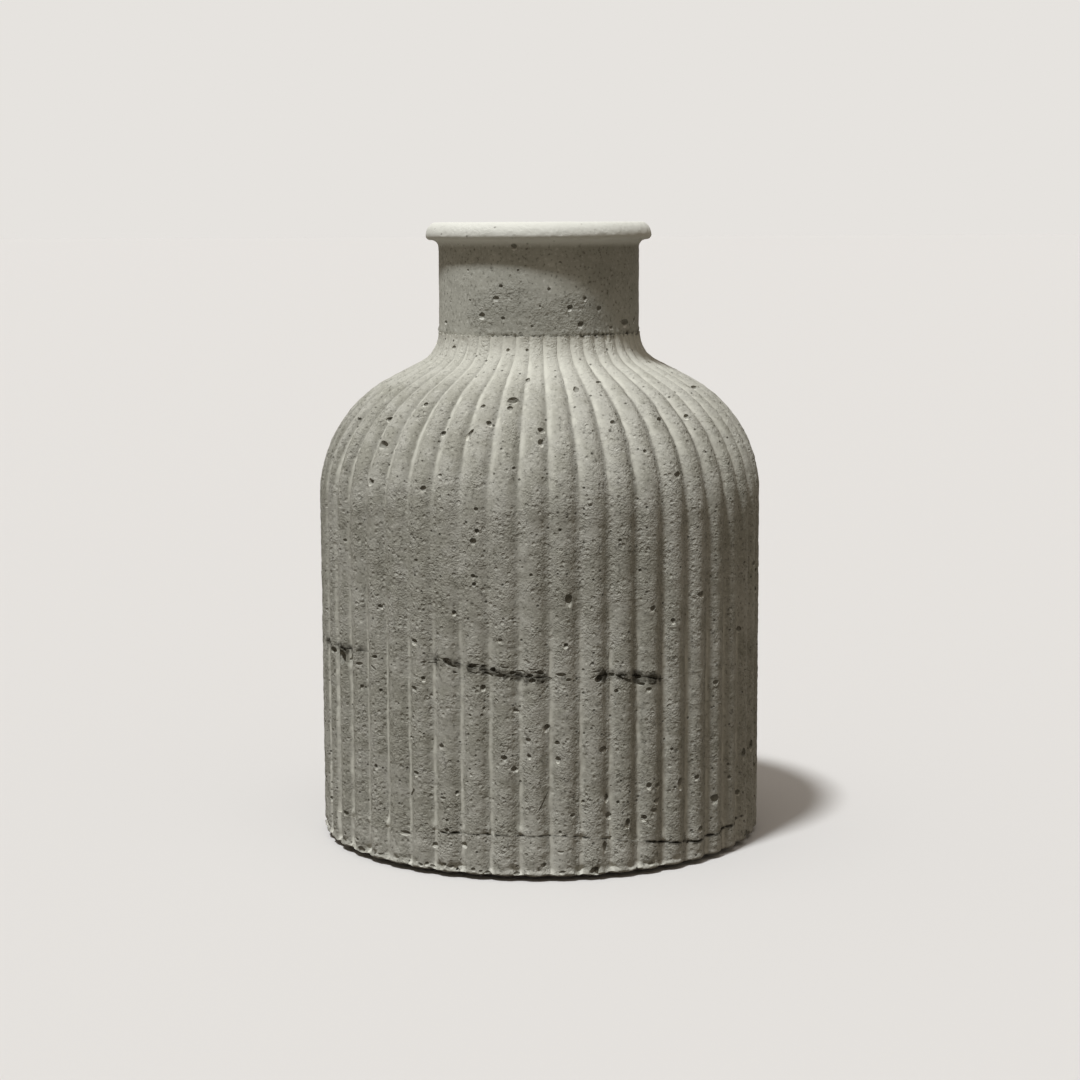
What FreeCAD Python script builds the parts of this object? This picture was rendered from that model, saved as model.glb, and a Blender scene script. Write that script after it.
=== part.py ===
import FreeCAD, Part

import math
import os

# A ribbed concrete vase, poured upside down in one mould in four lifts, in millimetres.
# The origin is at the middle of the resting face, with +Z up through the mouth.
# The camera of the photograph looks along +Y, so azimuth zero points along -Y.

# Overall sizes
total_height = 250.0
body_radius = 90.5
neck_radius = 40.8
neck_length = 44.4

# Ribs of the body
rib_count = 48
rib_depth = 2.4
rib_valley_radius = 1.5
first_rib_azimuth = 5.9

# Heights of the cold joints, where one lift of concrete was poured on the last
base_joint_height = 14.0
middle_joint_height = 80.0

# Shoulder: a round, then a straight slope, then a hollow up to the neck line
shoulder_slope = 27.0
slope_run = 13.0
cove_radius = 13.0
rib_end_step = 0.5

# Rim
rim_nose_radius = 3.5
rim_overhang = 5.2
rim_cove_radius = 3.0
mouth_edge_radius = 1.5

# Walls, lining and underside
neck_wall = 9.8
body_wall = 11.5
lining_thickness = 0.8
base_edge_radius = 2.5
pad_thickness = 1.5
pad_inset = 12.5

# Numbers of sections that shape each round stretch of the ribbed faces
shoulder_sections = 8
cove_sections = 6
edge_sections = 4

# Places that follow from the sizes above
UP = FreeCAD.Vector(0, 0, 1)
ORIGIN = FreeCAD.Vector(0, 0, 0)
slope = math.radians(shoulder_slope)
mouth_radius = neck_radius - neck_wall
rib_half_angle = math.pi / rib_count
rib_end_radius = neck_radius + rib_end_step
cove_centre_radius = rib_end_radius + cove_radius
cove_start_radius = cove_centre_radius - cove_radius * math.sin(slope)
shoulder_end_radius = cove_start_radius + slope_run
shoulder_radius = (body_radius - shoulder_end_radius) / (1 - math.sin(slope))
shoulder_centre_radius = body_radius - shoulder_radius
neck_line_height = total_height - neck_length
cove_start_height = neck_line_height - cove_radius * math.cos(slope)
shoulder_end_height = cove_start_height - slope_run * math.tan(slope)
shoulder_start_height = shoulder_end_height - shoulder_radius * math.cos(slope)


def polar(radius, angle, height):
    """Point at a radius and height, with its angle counted from the camera's side to the right."""
    return FreeCAD.Vector(radius * math.sin(angle), -radius * math.cos(angle), height)


def rib_crest_arc_radius():
    """Radius of the round crest that runs smoothly into the small round of the valley."""
    valley_centre = body_radius - rib_depth + rib_valley_radius
    along = body_radius - valley_centre * math.cos(rib_half_angle) + rib_valley_radius
    spread = body_radius ** 2 + valley_centre ** 2 - rib_valley_radius ** 2
    spread -= 2 * body_radius * valley_centre * math.cos(rib_half_angle)
    return spread / (2 * along)


def rib_join():
    """Radius and angle from the crest of the point where crest and valley rounds meet."""
    crest_radius = rib_crest_arc_radius()
    crest_centre = body_radius - crest_radius
    valley_centre = body_radius - rib_depth + rib_valley_radius
    share = crest_radius / (crest_radius + rib_valley_radius)
    outward = crest_centre + share * (valley_centre * math.cos(rib_half_angle) - crest_centre)
    sideways = share * valley_centre * math.sin(rib_half_angle)
    return math.hypot(outward, sideways), math.atan2(sideways, outward)


def ribbed_wire(crest_radius, height):
    """Closed outline of the ribbed body, drawn in or out to a crest radius."""
    scale = crest_radius / body_radius
    join_radius, join_angle = rib_join()
    edges = []
    for rib in range(rib_count):
        crest = math.radians(first_rib_azimuth) + rib * 2 * rib_half_angle
        start = polar(join_radius * scale, crest - join_angle, height)
        top = polar(body_radius * scale, crest, height)
        end = polar(join_radius * scale, crest + join_angle, height)
        valley = polar((body_radius - rib_depth) * scale, crest + rib_half_angle, height)
        following = polar(join_radius * scale, crest + 2 * rib_half_angle - join_angle, height)
        edges.append(Part.Arc(start, top, end).toShape())
        edges.append(Part.Arc(end, valley, following).toShape())
    return Part.Wire(Part.__sortEdges__(edges))


def ribbed_drum(low, high):
    """Upright ribbed drum between two heights."""
    return Part.Face(ribbed_wire(body_radius, low)).extrude(UP * (high - low))


def shoulder_stations():
    """Crest radius and height of each section from the drum's top to the neck line."""
    stations = []
    for step in range(shoulder_sections):
        turn = (math.pi / 2 - slope) * step / (shoulder_sections - 1)
        radius = shoulder_centre_radius + shoulder_radius * math.cos(turn)
        stations.append((radius, shoulder_start_height + shoulder_radius * math.sin(turn)))
    middle_radius = (shoulder_end_radius + cove_start_radius) / 2
    stations.append((middle_radius, (shoulder_end_height + cove_start_height) / 2))
    for step in range(cove_sections):
        turn = slope + (math.pi / 2 - slope) * step / (cove_sections - 1)
        radius = cove_centre_radius - cove_radius * math.sin(turn)
        stations.append((radius, neck_line_height - cove_radius * math.cos(turn)))
    return stations


def ribbed_shoulder():
    """Solid shoulder, whose ribs draw together towards the neck line."""
    wires = [ribbed_wire(radius, height) for radius, height in shoulder_stations()]
    return Part.makeLoft(wires, True, False)


def base_edge():
    """Solid foot of the ribbed body, rounded in under its lowest edge."""
    wires = []
    for step in range(edge_sections):
        turn = math.pi / 2 * step / (edge_sections - 1)
        radius = body_radius - base_edge_radius * (1 - math.sin(turn))
        height = pad_thickness + base_edge_radius * (1 - math.cos(turn))
        wires.append(ribbed_wire(radius, height))
    return Part.makeLoft(wires, True, False)


def cavity(inset):
    """Hollow of the body up to the neck line, drawn in by an inset all round."""
    wall_radius = body_radius - body_wall - inset
    floor = base_joint_height + inset
    bore_radius = mouth_radius + lining_thickness - inset
    arc_radius = shoulder_radius - body_wall - inset
    arc_middle = (math.pi / 2 - slope) / 2
    arc_top = math.pi / 2 - slope

    def arc_point(turn):
        """Point of the inner shoulder at a turn above level."""
        radius = shoulder_centre_radius + arc_radius * math.cos(turn)
        return FreeCAD.Vector(radius, 0, shoulder_start_height + arc_radius * math.sin(turn))

    slope_end = arc_point(arc_top)
    bore_height = slope_end.z + (slope_end.x - bore_radius) * math.tan(slope)
    corners = [
        FreeCAD.Vector(0, 0, floor),
        FreeCAD.Vector(wall_radius, 0, floor),
        FreeCAD.Vector(wall_radius, 0, shoulder_start_height),
    ]
    ends = [
        slope_end,
        FreeCAD.Vector(bore_radius, 0, bore_height),
        FreeCAD.Vector(bore_radius, 0, neck_line_height),
        FreeCAD.Vector(0, 0, neck_line_height),
        corners[0],
    ]
    edges = Part.makePolygon(corners).Edges
    edges.append(Part.Arc(corners[-1], arc_point(arc_middle), slope_end).toShape())
    edges += Part.makePolygon(ends).Edges
    return Part.Face(Part.Wire(edges)).revolve(ORIGIN, UP, 360)


def make_rim_neck():
    """Smooth neck with its rolled rim, the first lift poured."""
    nose_centre_radius = neck_radius + rim_overhang - rim_nose_radius
    nose_centre_height = total_height - rim_nose_radius
    cove_centre = neck_radius + rim_cove_radius
    reach = rim_nose_radius + rim_cove_radius
    across = cove_centre - nose_centre_radius
    drop = math.sqrt(reach ** 2 - across ** 2)
    cove_height = nose_centre_height - drop
    join_turn = math.atan2(-drop, across)
    nose_middle_turn = (math.pi / 2 + join_turn) / 2
    cove_middle_turn = (math.pi + join_turn + math.pi) / 2

    def nose(turn):
        """Point of the rolled rim at a turn above level."""
        radius = nose_centre_radius + rim_nose_radius * math.cos(turn)
        return FreeCAD.Vector(radius, 0, nose_centre_height + rim_nose_radius * math.sin(turn))

    def cove(turn):
        """Point of the small hollow under the rim at a turn above level."""
        radius = cove_centre + rim_cove_radius * math.cos(turn)
        return FreeCAD.Vector(radius, 0, cove_height + rim_cove_radius * math.sin(turn))

    edge_centre_radius = mouth_radius + mouth_edge_radius
    edge_centre_height = total_height - mouth_edge_radius
    edge_reach = mouth_edge_radius * math.sqrt(0.5)
    inner_low = FreeCAD.Vector(mouth_radius, 0, neck_line_height)
    inner_high = FreeCAD.Vector(mouth_radius, 0, edge_centre_height)
    edge_middle = FreeCAD.Vector(edge_centre_radius - edge_reach, 0, edge_centre_height + edge_reach)
    top_inner = FreeCAD.Vector(edge_centre_radius, 0, total_height)
    outer_high = FreeCAD.Vector(neck_radius, 0, cove_height)
    outer_low = FreeCAD.Vector(neck_radius, 0, neck_line_height)
    edges = [
        Part.makeLine(inner_low, inner_high),
        Part.Arc(inner_high, edge_middle, top_inner).toShape(),
        Part.makeLine(top_inner, nose(math.pi / 2)),
        Part.Arc(nose(math.pi / 2), nose(nose_middle_turn), nose(join_turn)).toShape(),
        Part.Arc(nose(join_turn), cove(cove_middle_turn), outer_high).toShape(),
        Part.makeLine(outer_high, outer_low),
        Part.makeLine(outer_low, inner_low),
    ]
    return Part.Face(Part.Wire(edges)).revolve(ORIGIN, UP, 360)


def make_upper_body():
    """Ribbed upper wall and shoulder, the second lift."""
    outside = ribbed_drum(middle_joint_height, shoulder_start_height).fuse(ribbed_shoulder())
    return outside.cut(cavity(0))


def make_lower_body():
    """Ribbed lower wall, the third lift."""
    return ribbed_drum(base_joint_height, middle_joint_height).cut(cavity(0))


def make_base_slab():
    """Ribbed floor of the vase, the last lift, trowelled flat."""
    edge_top = pad_thickness + base_edge_radius
    return base_edge().fuse(ribbed_drum(edge_top, base_joint_height))


def make_waterproof_lining():
    """Sealing coat brushed over the floor and walls inside, up to the neck line."""
    return cavity(0).cut(cavity(lining_thickness))


def make_felt_pad():
    """Round pad glued under the floor, which the vase rests on."""
    return Part.makeCylinder(body_radius - pad_inset, pad_thickness)


NODES = {
    "rim_neck": make_rim_neck,
    "upper_body": make_upper_body,
    "lower_body": make_lower_body,
    "base_slab": make_base_slab,
    "waterproof_lining": make_waterproof_lining,
    "felt_pad": make_felt_pad,
}


def main():
    """Builds each piece and writes it under its name."""
    os.makedirs("parts", exist_ok=True)
    for name, make in NODES.items():
        piece = make()
        print(name, len(piece.Solids), "solid", piece.isValid(), round(piece.Volume), "mm3")
        piece.exportStep("parts/" + name + ".step")


main()
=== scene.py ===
"""Looks of a ribbed urn vase in bare cast concrete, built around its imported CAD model.

The vase was poured upside down in four lifts. Each lift is lathed from its own outline,
then ribbed, roughened, cracked along its cold joints and pitted as a mesh, and dressed
with a procedural concrete.
"""

import logging
import math
import random
from collections.abc import Callable
from dataclasses import dataclass
from enum import Enum

import bpy
import numpy as np
from bpy.types import Material, Node, NodeSocket, NodeTree, Object, World
from mathutils import Euler, Matrix, Vector, noise
from mathutils.bvhtree import BVHTree

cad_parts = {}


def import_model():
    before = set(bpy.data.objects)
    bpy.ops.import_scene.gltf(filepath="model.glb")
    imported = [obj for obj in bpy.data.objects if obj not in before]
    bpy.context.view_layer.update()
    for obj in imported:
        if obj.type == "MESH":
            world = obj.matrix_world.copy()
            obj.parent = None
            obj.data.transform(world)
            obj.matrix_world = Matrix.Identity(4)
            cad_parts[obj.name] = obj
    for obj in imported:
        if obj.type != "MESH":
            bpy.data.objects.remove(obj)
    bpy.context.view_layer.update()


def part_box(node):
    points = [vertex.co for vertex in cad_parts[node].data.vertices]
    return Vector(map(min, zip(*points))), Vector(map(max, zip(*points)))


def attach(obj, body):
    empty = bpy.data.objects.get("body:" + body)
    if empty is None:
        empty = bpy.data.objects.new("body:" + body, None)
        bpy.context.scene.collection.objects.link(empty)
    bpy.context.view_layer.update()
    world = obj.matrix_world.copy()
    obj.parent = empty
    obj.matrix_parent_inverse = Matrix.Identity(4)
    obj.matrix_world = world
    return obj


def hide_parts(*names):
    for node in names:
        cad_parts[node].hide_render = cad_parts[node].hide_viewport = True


LOG = logging.getLogger("urn_vase")
MM = 0.001
# Points that are closer than this are one.
SAME_PLACE = 0.01 * MM
# A casting's plain face starts this far from a cold joint, and nearer than this it follows the
# joint fully.
JOINT_EDGE = 2.2 * MM
JOINT_NEAR = 1.5 * MM
Pair = tuple[float, float]


def linear(hex_colour: str) -> tuple[float, float, float, float]:
    """Turns an sRGB hex colour into the linear colour that a shader takes.

    Args:
        hex_colour: six hex digits, without a mark in front.

    Returns:
        Red, green, blue and an alpha of one.
    """
    shares = []
    # The limit, the straight part and the power are those of the sRGB standard.
    for start in (0, 2, 4):
        value = int(hex_colour[start:start + 2], 16) / 255
        shares.append(value / 12.92 if value <= 0.04045 else ((value + 0.055) / 1.055) ** 2.4)
    return (shares[0], shares[1], shares[2], 1.0)


def unit(value: float) -> float:
    """Keeps a share between nought and one."""
    return max(0.0, min(1.0, value))


def smooth_step(low: float, high: float, value: np.ndarray) -> np.ndarray:
    """Eases from nought at low to one at high."""
    share = np.clip((value - low) / (high - low), 0.0, 1.0)
    return share * share * (3 - 2 * share)


def azimuths(points: np.ndarray) -> np.ndarray:
    """Angles in degrees round the vase, nought towards the camera and growing to the right."""
    return np.degrees(np.arctan2(points[:, 0], -points[:, 1]))


def read_round(turn: np.ndarray, table: tuple[Pair, ...]) -> np.ndarray:
    """Reads a table of angles in degrees and values, which closes on itself."""
    angles, values = zip(*table)
    return np.interp(turn, angles, values, period=360)


def spot(turn: np.ndarray, height: np.ndarray, centre: Pair, reach: Pair) -> np.ndarray:
    """A soft round patch on the wall, one at its middle.

    Args:
        turn: angles in degrees.
        height: heights in metres.
        centre: the patch's angle and its height in millimetres.
        reach: how far it reaches in degrees and in millimetres.

    Returns:
        The patch's strength at each place.
    """
    around = (turn - centre[0] + 180) % 360 - 180
    up = height / MM - centre[1]
    return np.exp(-(around / reach[0]) ** 2 - (up / reach[1]) ** 2)


def band(level: np.ndarray, middle: float, reach: float) -> np.ndarray:
    """One at a level, fading above and below it."""
    return np.exp(-((level - middle) / reach) ** 2)


def outward_at(angle: float) -> Vector:
    """Level direction away from the axis at an angle in radians, nought towards the camera."""
    return Vector((math.sin(angle), -math.cos(angle), 0))


def sideways(normal: Vector) -> Vector:
    """Level direction along a face."""
    return Vector((-normal.y, normal.x, 0)).normalized()


def take_up(piece: Object) -> None:
    """Selects one piece alone and makes it the active one.

    Args:
        piece: the piece.
    """
    bpy.ops.object.select_all(action="DESELECT")
    piece.select_set(True)
    bpy.context.view_layer.objects.active = piece


def read_points(piece: Object) -> np.ndarray:
    """Reads where a mesh's points are.

    Args:
        piece: the mesh's object.

    Returns:
        The points, one a row.
    """
    flat = np.zeros(len(piece.data.vertices) * 3)
    piece.data.vertices.foreach_get("co", flat)
    return flat.reshape(-1, 3)


def write_points(piece: Object, points: np.ndarray) -> None:
    """Moves a mesh's points to new places."""
    piece.data.vertices.foreach_set("co", points.reshape(-1))
    piece.data.update()


def store(piece: Object, name: str, values: np.ndarray | float) -> None:
    """Stores a number on each point of a mesh.

    Args:
        piece: the mesh's object.
        name: the attribute, which is made where it is missing.
        values: a number for each point, or one for all.
    """
    held = piece.data.attributes
    mark = held[name] if name in held else held.new(name, "FLOAT", "POINT")
    mark.data.foreach_set("value", np.full(len(piece.data.vertices), values, dtype=np.float32))


@dataclass(frozen=True)
class PhotoCamera:
    """The photograph's camera, as solved from the vase's outline.

    The sizes are metres, radians and pixels of the 1080 by 1080 frame.
    """

    distance: float = 0.95
    height: float = 0.248
    tilt: float = 0.1342
    roll: float = 0.0045
    focal_pixels: float = 2320.0
    frame_pixels: float = 1080.0
    sensor_mm: float = 36.0

    def turn(self) -> Matrix:
        """Rotation that looks at the vase from the front."""
        look = Euler((math.pi / 2 - self.tilt, 0, 0)).to_matrix()
        return look @ Matrix.Rotation(-self.roll, 3, "Z")

    def make(self) -> None:
        """Adds the camera to the scene and makes it the one that renders."""
        bpy.ops.object.camera_add(location=(0, -self.distance, self.height))
        camera = bpy.context.object
        camera.rotation_euler = self.turn().to_euler()
        camera.data.sensor_width = self.sensor_mm
        camera.data.lens = self.sensor_mm * self.focal_pixels / self.frame_pixels
        camera.name = "photo_camera"
        bpy.context.scene.camera = camera

    def ray(self, across: float, down: float) -> tuple[Vector, Vector]:
        """Line of sight through a pixel.

        Args:
            across: pixels from the left edge of the frame.
            down: pixels from its top edge.

        Returns:
            The eye's place and the direction of sight.
        """
        middle = self.frame_pixels / 2
        sight = Vector((across - middle, middle - down, -self.focal_pixels))
        return Vector((0, -self.distance, self.height)), (self.turn() @ sight).normalized()


# Where the ribs are worn or half filled: the share that is gone, then the middle of the place and
# its reach, both in degrees round the vase and millimetres up.
WORN_PLACES = (
    (0.62, (-20, 120), (19, 26)),
    (0.62, (-9, 193), (26, 13)),
    (0.8, (-66, 204), (40, 6)),
    (0.3, (4, 60), (14, 16)),
    (0.55, (160, 118), (26, 26)),
    (0.45, (-128, 52), (18, 22)),
)


@dataclass(frozen=True)
class Ribs:
    """The round ribs that the mould's slats left, with a small round valley between each two."""

    count: int = 48
    crest_radius: float = 90.35 * MM
    depth: float = 2.3 * MM
    valley_radius: float = 2.8 * MM
    first_azimuth: float = 5.9
    gather_share: float = 0.2
    slack: float = 0.1
    waist: tuple[Pair, Pair] = ((75 * MM, 110 * MM), (140 * MM, 170 * MM))
    neck_fade: float = 0.55
    neck_rise: Pair = (184 * MM, 203 * MM)

    def gathered(self, turn: np.ndarray) -> np.ndarray:
        """Moves even angles closer together at the valleys, where the section is tightest.

        Args:
            turn: even angles in degrees.

        Returns:
            The moved angles.
        """
        pitch = 360 / self.count
        share = (turn - self.first_azimuth) / pitch
        eased = share + self.gather_share * np.sin(math.tau * share) / math.tau
        return self.first_azimuth + eased * pitch

    def valley_share(self, turn: np.ndarray) -> np.ndarray:
        """Nought on a crest, one at the bottom of a valley."""
        share = (turn - self.first_azimuth) * self.count / 360
        return 1 - np.abs(2 * (share - np.floor(share)) - 1)

    def section(self, turn: np.ndarray) -> np.ndarray:
        """Share of the crest's radius that the ribbed face has at an angle.

        The crest's round and the valley's round touch each other, and the larger follows from
        the other sizes.

        Args:
            turn: angles in degrees.

        Returns:
            One on the crests, and less in the valleys.
        """
        half = math.pi / self.count
        valley_centre = self.crest_radius - self.depth + self.valley_radius
        along = self.crest_radius - valley_centre * math.cos(half) + self.valley_radius
        spread = self.crest_radius ** 2 + valley_centre ** 2 - self.valley_radius ** 2
        spread -= 2 * self.crest_radius * valley_centre * math.cos(half)
        round_radius = spread / (2 * along)
        crest_centre = self.crest_radius - round_radius
        from_crest = self.valley_share(turn) * half
        from_valley = half - from_crest
        under = np.maximum(round_radius ** 2 - (crest_centre * np.sin(from_crest)) ** 2, 0)
        crest = crest_centre * np.cos(from_crest) + np.sqrt(under)
        within = np.maximum(self.valley_radius ** 2 - (valley_centre * np.sin(from_valley)) ** 2, 0)
        valley = valley_centre * np.cos(from_valley) - np.sqrt(within)
        share = round_radius / (round_radius + self.valley_radius)
        outward = crest_centre + share * (valley_centre * math.cos(half) - crest_centre)
        join = math.atan2(share * valley_centre * math.sin(half), outward)
        return np.where(from_crest < join, crest, valley) / self.crest_radius

    def strength(self, turn: np.ndarray, height: np.ndarray) -> np.ndarray:
        """How much of the full depth the ribs have, less at the waist, the neck and worn places.

        Args:
            turn: angles in degrees.
            height: heights in metres.

        Returns:
            A share of the depth for each place.
        """
        into, out_of = self.waist
        level = 1.0 - self.slack * smooth_step(*into, height)
        level = level + self.slack * smooth_step(*out_of, height)
        level = level * (1 - self.neck_fade * smooth_step(*self.neck_rise, height))
        for gone, centre, reach in WORN_PLACES:
            level = level * (1 - gone * spot(turn, height, centre, reach))
        return level

    def face(self, turn: float, height: float) -> float:
        """Radius of the ribbed wall at one place below the shoulder.

        Args:
            turn: the angle in degrees.
            height: the height in metres.

        Returns:
            The radius in metres.
        """
        angle, level = np.array([turn]), np.array([height])
        share = 1 - self.strength(angle, level) * (1 - self.section(angle))
        return float(self.crest_radius * share[0])


@dataclass(frozen=True)
class Pit:
    """A hole seen in the photograph, at its pixel.

    Its width, height and depth are millimetres, and it is turned in the surface by degrees,
    to the left when above nought. A height or depth of nought follows from the width.
    """

    across: float
    down: float
    width: float
    tall: float = 0.0
    turn: float = 0.0
    depth: float = 0.0


def pits(*rows: tuple[float, ...]) -> tuple[Pit, ...]:
    """Pits from rows of their values, in the order of a pit's fields."""
    return tuple(Pit(*row) for row in rows)


# Pits of each casting and spots of the middle joint, placed at the photograph's pixels. A row
# holds the pixel and the width, and the height, turn and depth where they are its own.
NECK_PITS = pits(
    (514, 246, 2.4), (501, 286, 1.8), (496, 298, 2.6, 1.6), (482, 315, 2.4), (503, 318, 1.9),
    (549, 289, 1.8), (585, 298, 1.8), (570, 307, 2.4), (599, 308, 2.2), (581, 324, 2.6),
    (625, 322, 3.0), (446, 322, 1.6), (532, 326, 1.5), (611, 327, 1.5), (468, 270, 1.1),
    (560, 262, 1.1), (518, 270, 1.2), (590, 282, 1.2), (540, 306, 1.2), (470, 300, 1.2),
)
BODY_PITS = pits(
    (513, 400, 4.6, 2.2), (510, 408, 2.6, 1.6), (541, 430, 2.4), (541, 442, 2.6), (383, 444, 3.6),
    (576, 389, 2.4), (528, 380, 1.8), (489, 423, 2.2), (660, 419, 2.4), (686, 416, 2.2),
    (391, 419, 2.2), (426, 404, 2.0), (370, 481, 2.8), (423, 488, 2.4), (476, 509, 2.0),
    (477, 531, 2.2), (473, 541, 2.6), (380, 606, 2.2), (454, 612, 2.0), (414, 641, 2.2),
    (473, 576, 2.2), (474, 584, 2.0), (569, 599, 3.0, 4.0), (566, 645, 2.2), (653, 608, 2.4),
    (673, 620, 2.2), (701, 594, 2.4), (678, 474, 2.4), (754, 563, 2.2), (755, 570, 2.0),
    (454, 347, 1.6), (508, 350, 1.8), (527, 350, 1.6), (483, 406, 2.2, 1.4), (444, 433, 2.0),
    (471, 433, 1.4, 4.0), (613, 422, 2.0), (645, 451, 1.8), (694, 387, 2.6, 1.4),
    (598, 382, 2.6, 1.2), (424, 489, 2.0), (440, 475, 1.4), (514, 468, 1.6), (360, 419, 1.6),
    (500, 640, 1.8), (531, 575, 1.8), (620, 540, 1.8), (640, 570, 1.6), (590, 505, 1.8),
    (560, 530, 1.6), (416, 560, 1.6), (345, 540, 1.8),
)
WALL_PITS = pits(
    (423, 678, 2.2), (414, 688, 2.2), (483, 687, 2.4), (441, 746, 2.0), (416, 773, 2.0),
    (504, 758, 2.6), (514, 769, 2.4), (547, 727, 2.6), (528, 740, 2.2), (529, 756, 2.0),
    (332, 798, 2.0), (346, 813, 2.0), (715, 798, 3.8, 3.4), (649, 785, 2.4), (658, 785, 2.4),
    (681, 782, 2.4, 3.8), (697, 777, 2.2), (657, 800, 2.8, 1.8), (644, 817, 2.4), (608, 815, 2.4),
    (603, 749, 2.6), (558, 759, 2.2), (557, 743, 2.2), (740, 817, 2.0), (744, 753, 1.6, 4.0),
    (751, 744, 1.6, 4.0), (649, 689, 2.4, 1.6), (616, 691, 2.2), (672, 749, 1.8), (701, 828, 2.2),
    (447, 820, 1.6), (362, 686, 1.8), (381, 690, 1.8), (470, 715, 1.6), (482, 715, 1.6),
    (484, 708, 1.8), (412, 737, 2.0, 1.0), (376, 766, 1.6, 2.2), (443, 798, 2.2, 1.2),
    (573, 815, 2.2, 1.6), (606, 797, 1.8, 2.6), (618, 802, 1.8), (654, 810, 2.6, 1.6),
    (583, 801, 1.6), (628, 822, 2.0, 3.2), (675, 787, 1.6), (728, 764, 1.6), (729, 777, 1.8),
    (716, 682, 2.2), (457, 792, 1.8), (447, 830, 2.0), (543, 803, 0.7, 9.5, -30, 0.5),
    (413, 792, 0.8, 5.5, -48, 0.4), (560, 832, 1.6), (516, 710, 3.0, 1.1, -25),
)
BASE_PITS = pits(
    (436, 844, 2.2), (465, 844, 2.2), (517, 866, 1.8, 1.0), (544, 865, 2.2),
    (594, 870, 5.2, 2.4, 20), (651, 863, 4.2, 1.2), (380, 854, 4.0, 1.2), (406, 832, 4.6, 1.5, -10),
    (360, 849, 4.5, 2.4), (420, 864, 2.4, 1.3, -10), (427, 863, 1.8, 1.4),
    (433, 866, 2.6, 1.2, -20), (444, 864, 2.0, 1.4), (451, 866, 2.6, 1.3, 12), (458, 869, 2.2, 1.0),
    (473, 869, 2.2, 1.5, 20), (481, 871, 1.8, 1.2), (488, 872, 2.4, 1.2), (517, 873, 2.6, 1.3),
    (563, 872, 2.6, 1.2), (340, 842, 4.0, 1.4), (365, 855, 3.6, 1.8), (605, 876, 3.0, 1.4),
    (683, 868, 2.4, 1.6), (722, 854, 2.4, 1.4), (735, 846, 2.2, 1.2), (356, 838, 3.0, 1.4),
    (561, 852, 3.0, 0.9), (605, 846, 1.6, 4.0),
)
JOINT_SPOTS = pits(
    (448, 664, 4.6, 2.0, -25), (441, 659, 3.4, 0.9, -20), (456, 673, 3.4, 0.9, -25),
    (472, 666, 3.2, 1.9), (484, 666, 2.6, 1.3), (489, 674, 4.2, 1.3, -18), (500, 676, 4.4, 1.7),
    (513, 673, 2.8, 1.8), (530, 676, 2.6, 1.7), (532, 670, 7.5, 0.9), (541, 673, 3.4, 1.9, -20),
    (543, 682, 2.2, 1.5), (434, 663, 5.0, 0.8), (424, 662, 1.8), (332, 650, 1.8, 3.0),
    (341, 657, 2.3, 6.8, 4), (351, 660, 2.1, 7.2, -6), (336, 672, 1.8, 1.2),
    (348, 671, 2.6, 1.2, 20), (359, 664, 2.6, 2.0), (374, 657, 2.0), (373, 668, 2.6, 1.3, -30),
    (560, 675, 4.6, 1.7), (569, 680, 2.4, 1.6), (599, 679, 3.2, 3.0), (596, 672, 5.4, 1.0, 6),
    (606, 675, 1.4, 3.4, 20), (618, 676, 6.0, 1.2, -26), (629, 681, 5.4, 1.3, -32),
    (641, 684, 3.4, 1.5), (655, 684, 5.4, 1.0, -4), (478, 665, 3.0, 0.9, -8),
    (506, 668, 4.6, 0.9, -8), (521, 671, 4.4, 0.9), (455, 667, 5.0, 1.1, -20),
    (473, 673, 4.6, 0.9, -14), (513, 679, 3.6, 0.9), (336, 653, 0.9, 2.6, 12),
)


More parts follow.
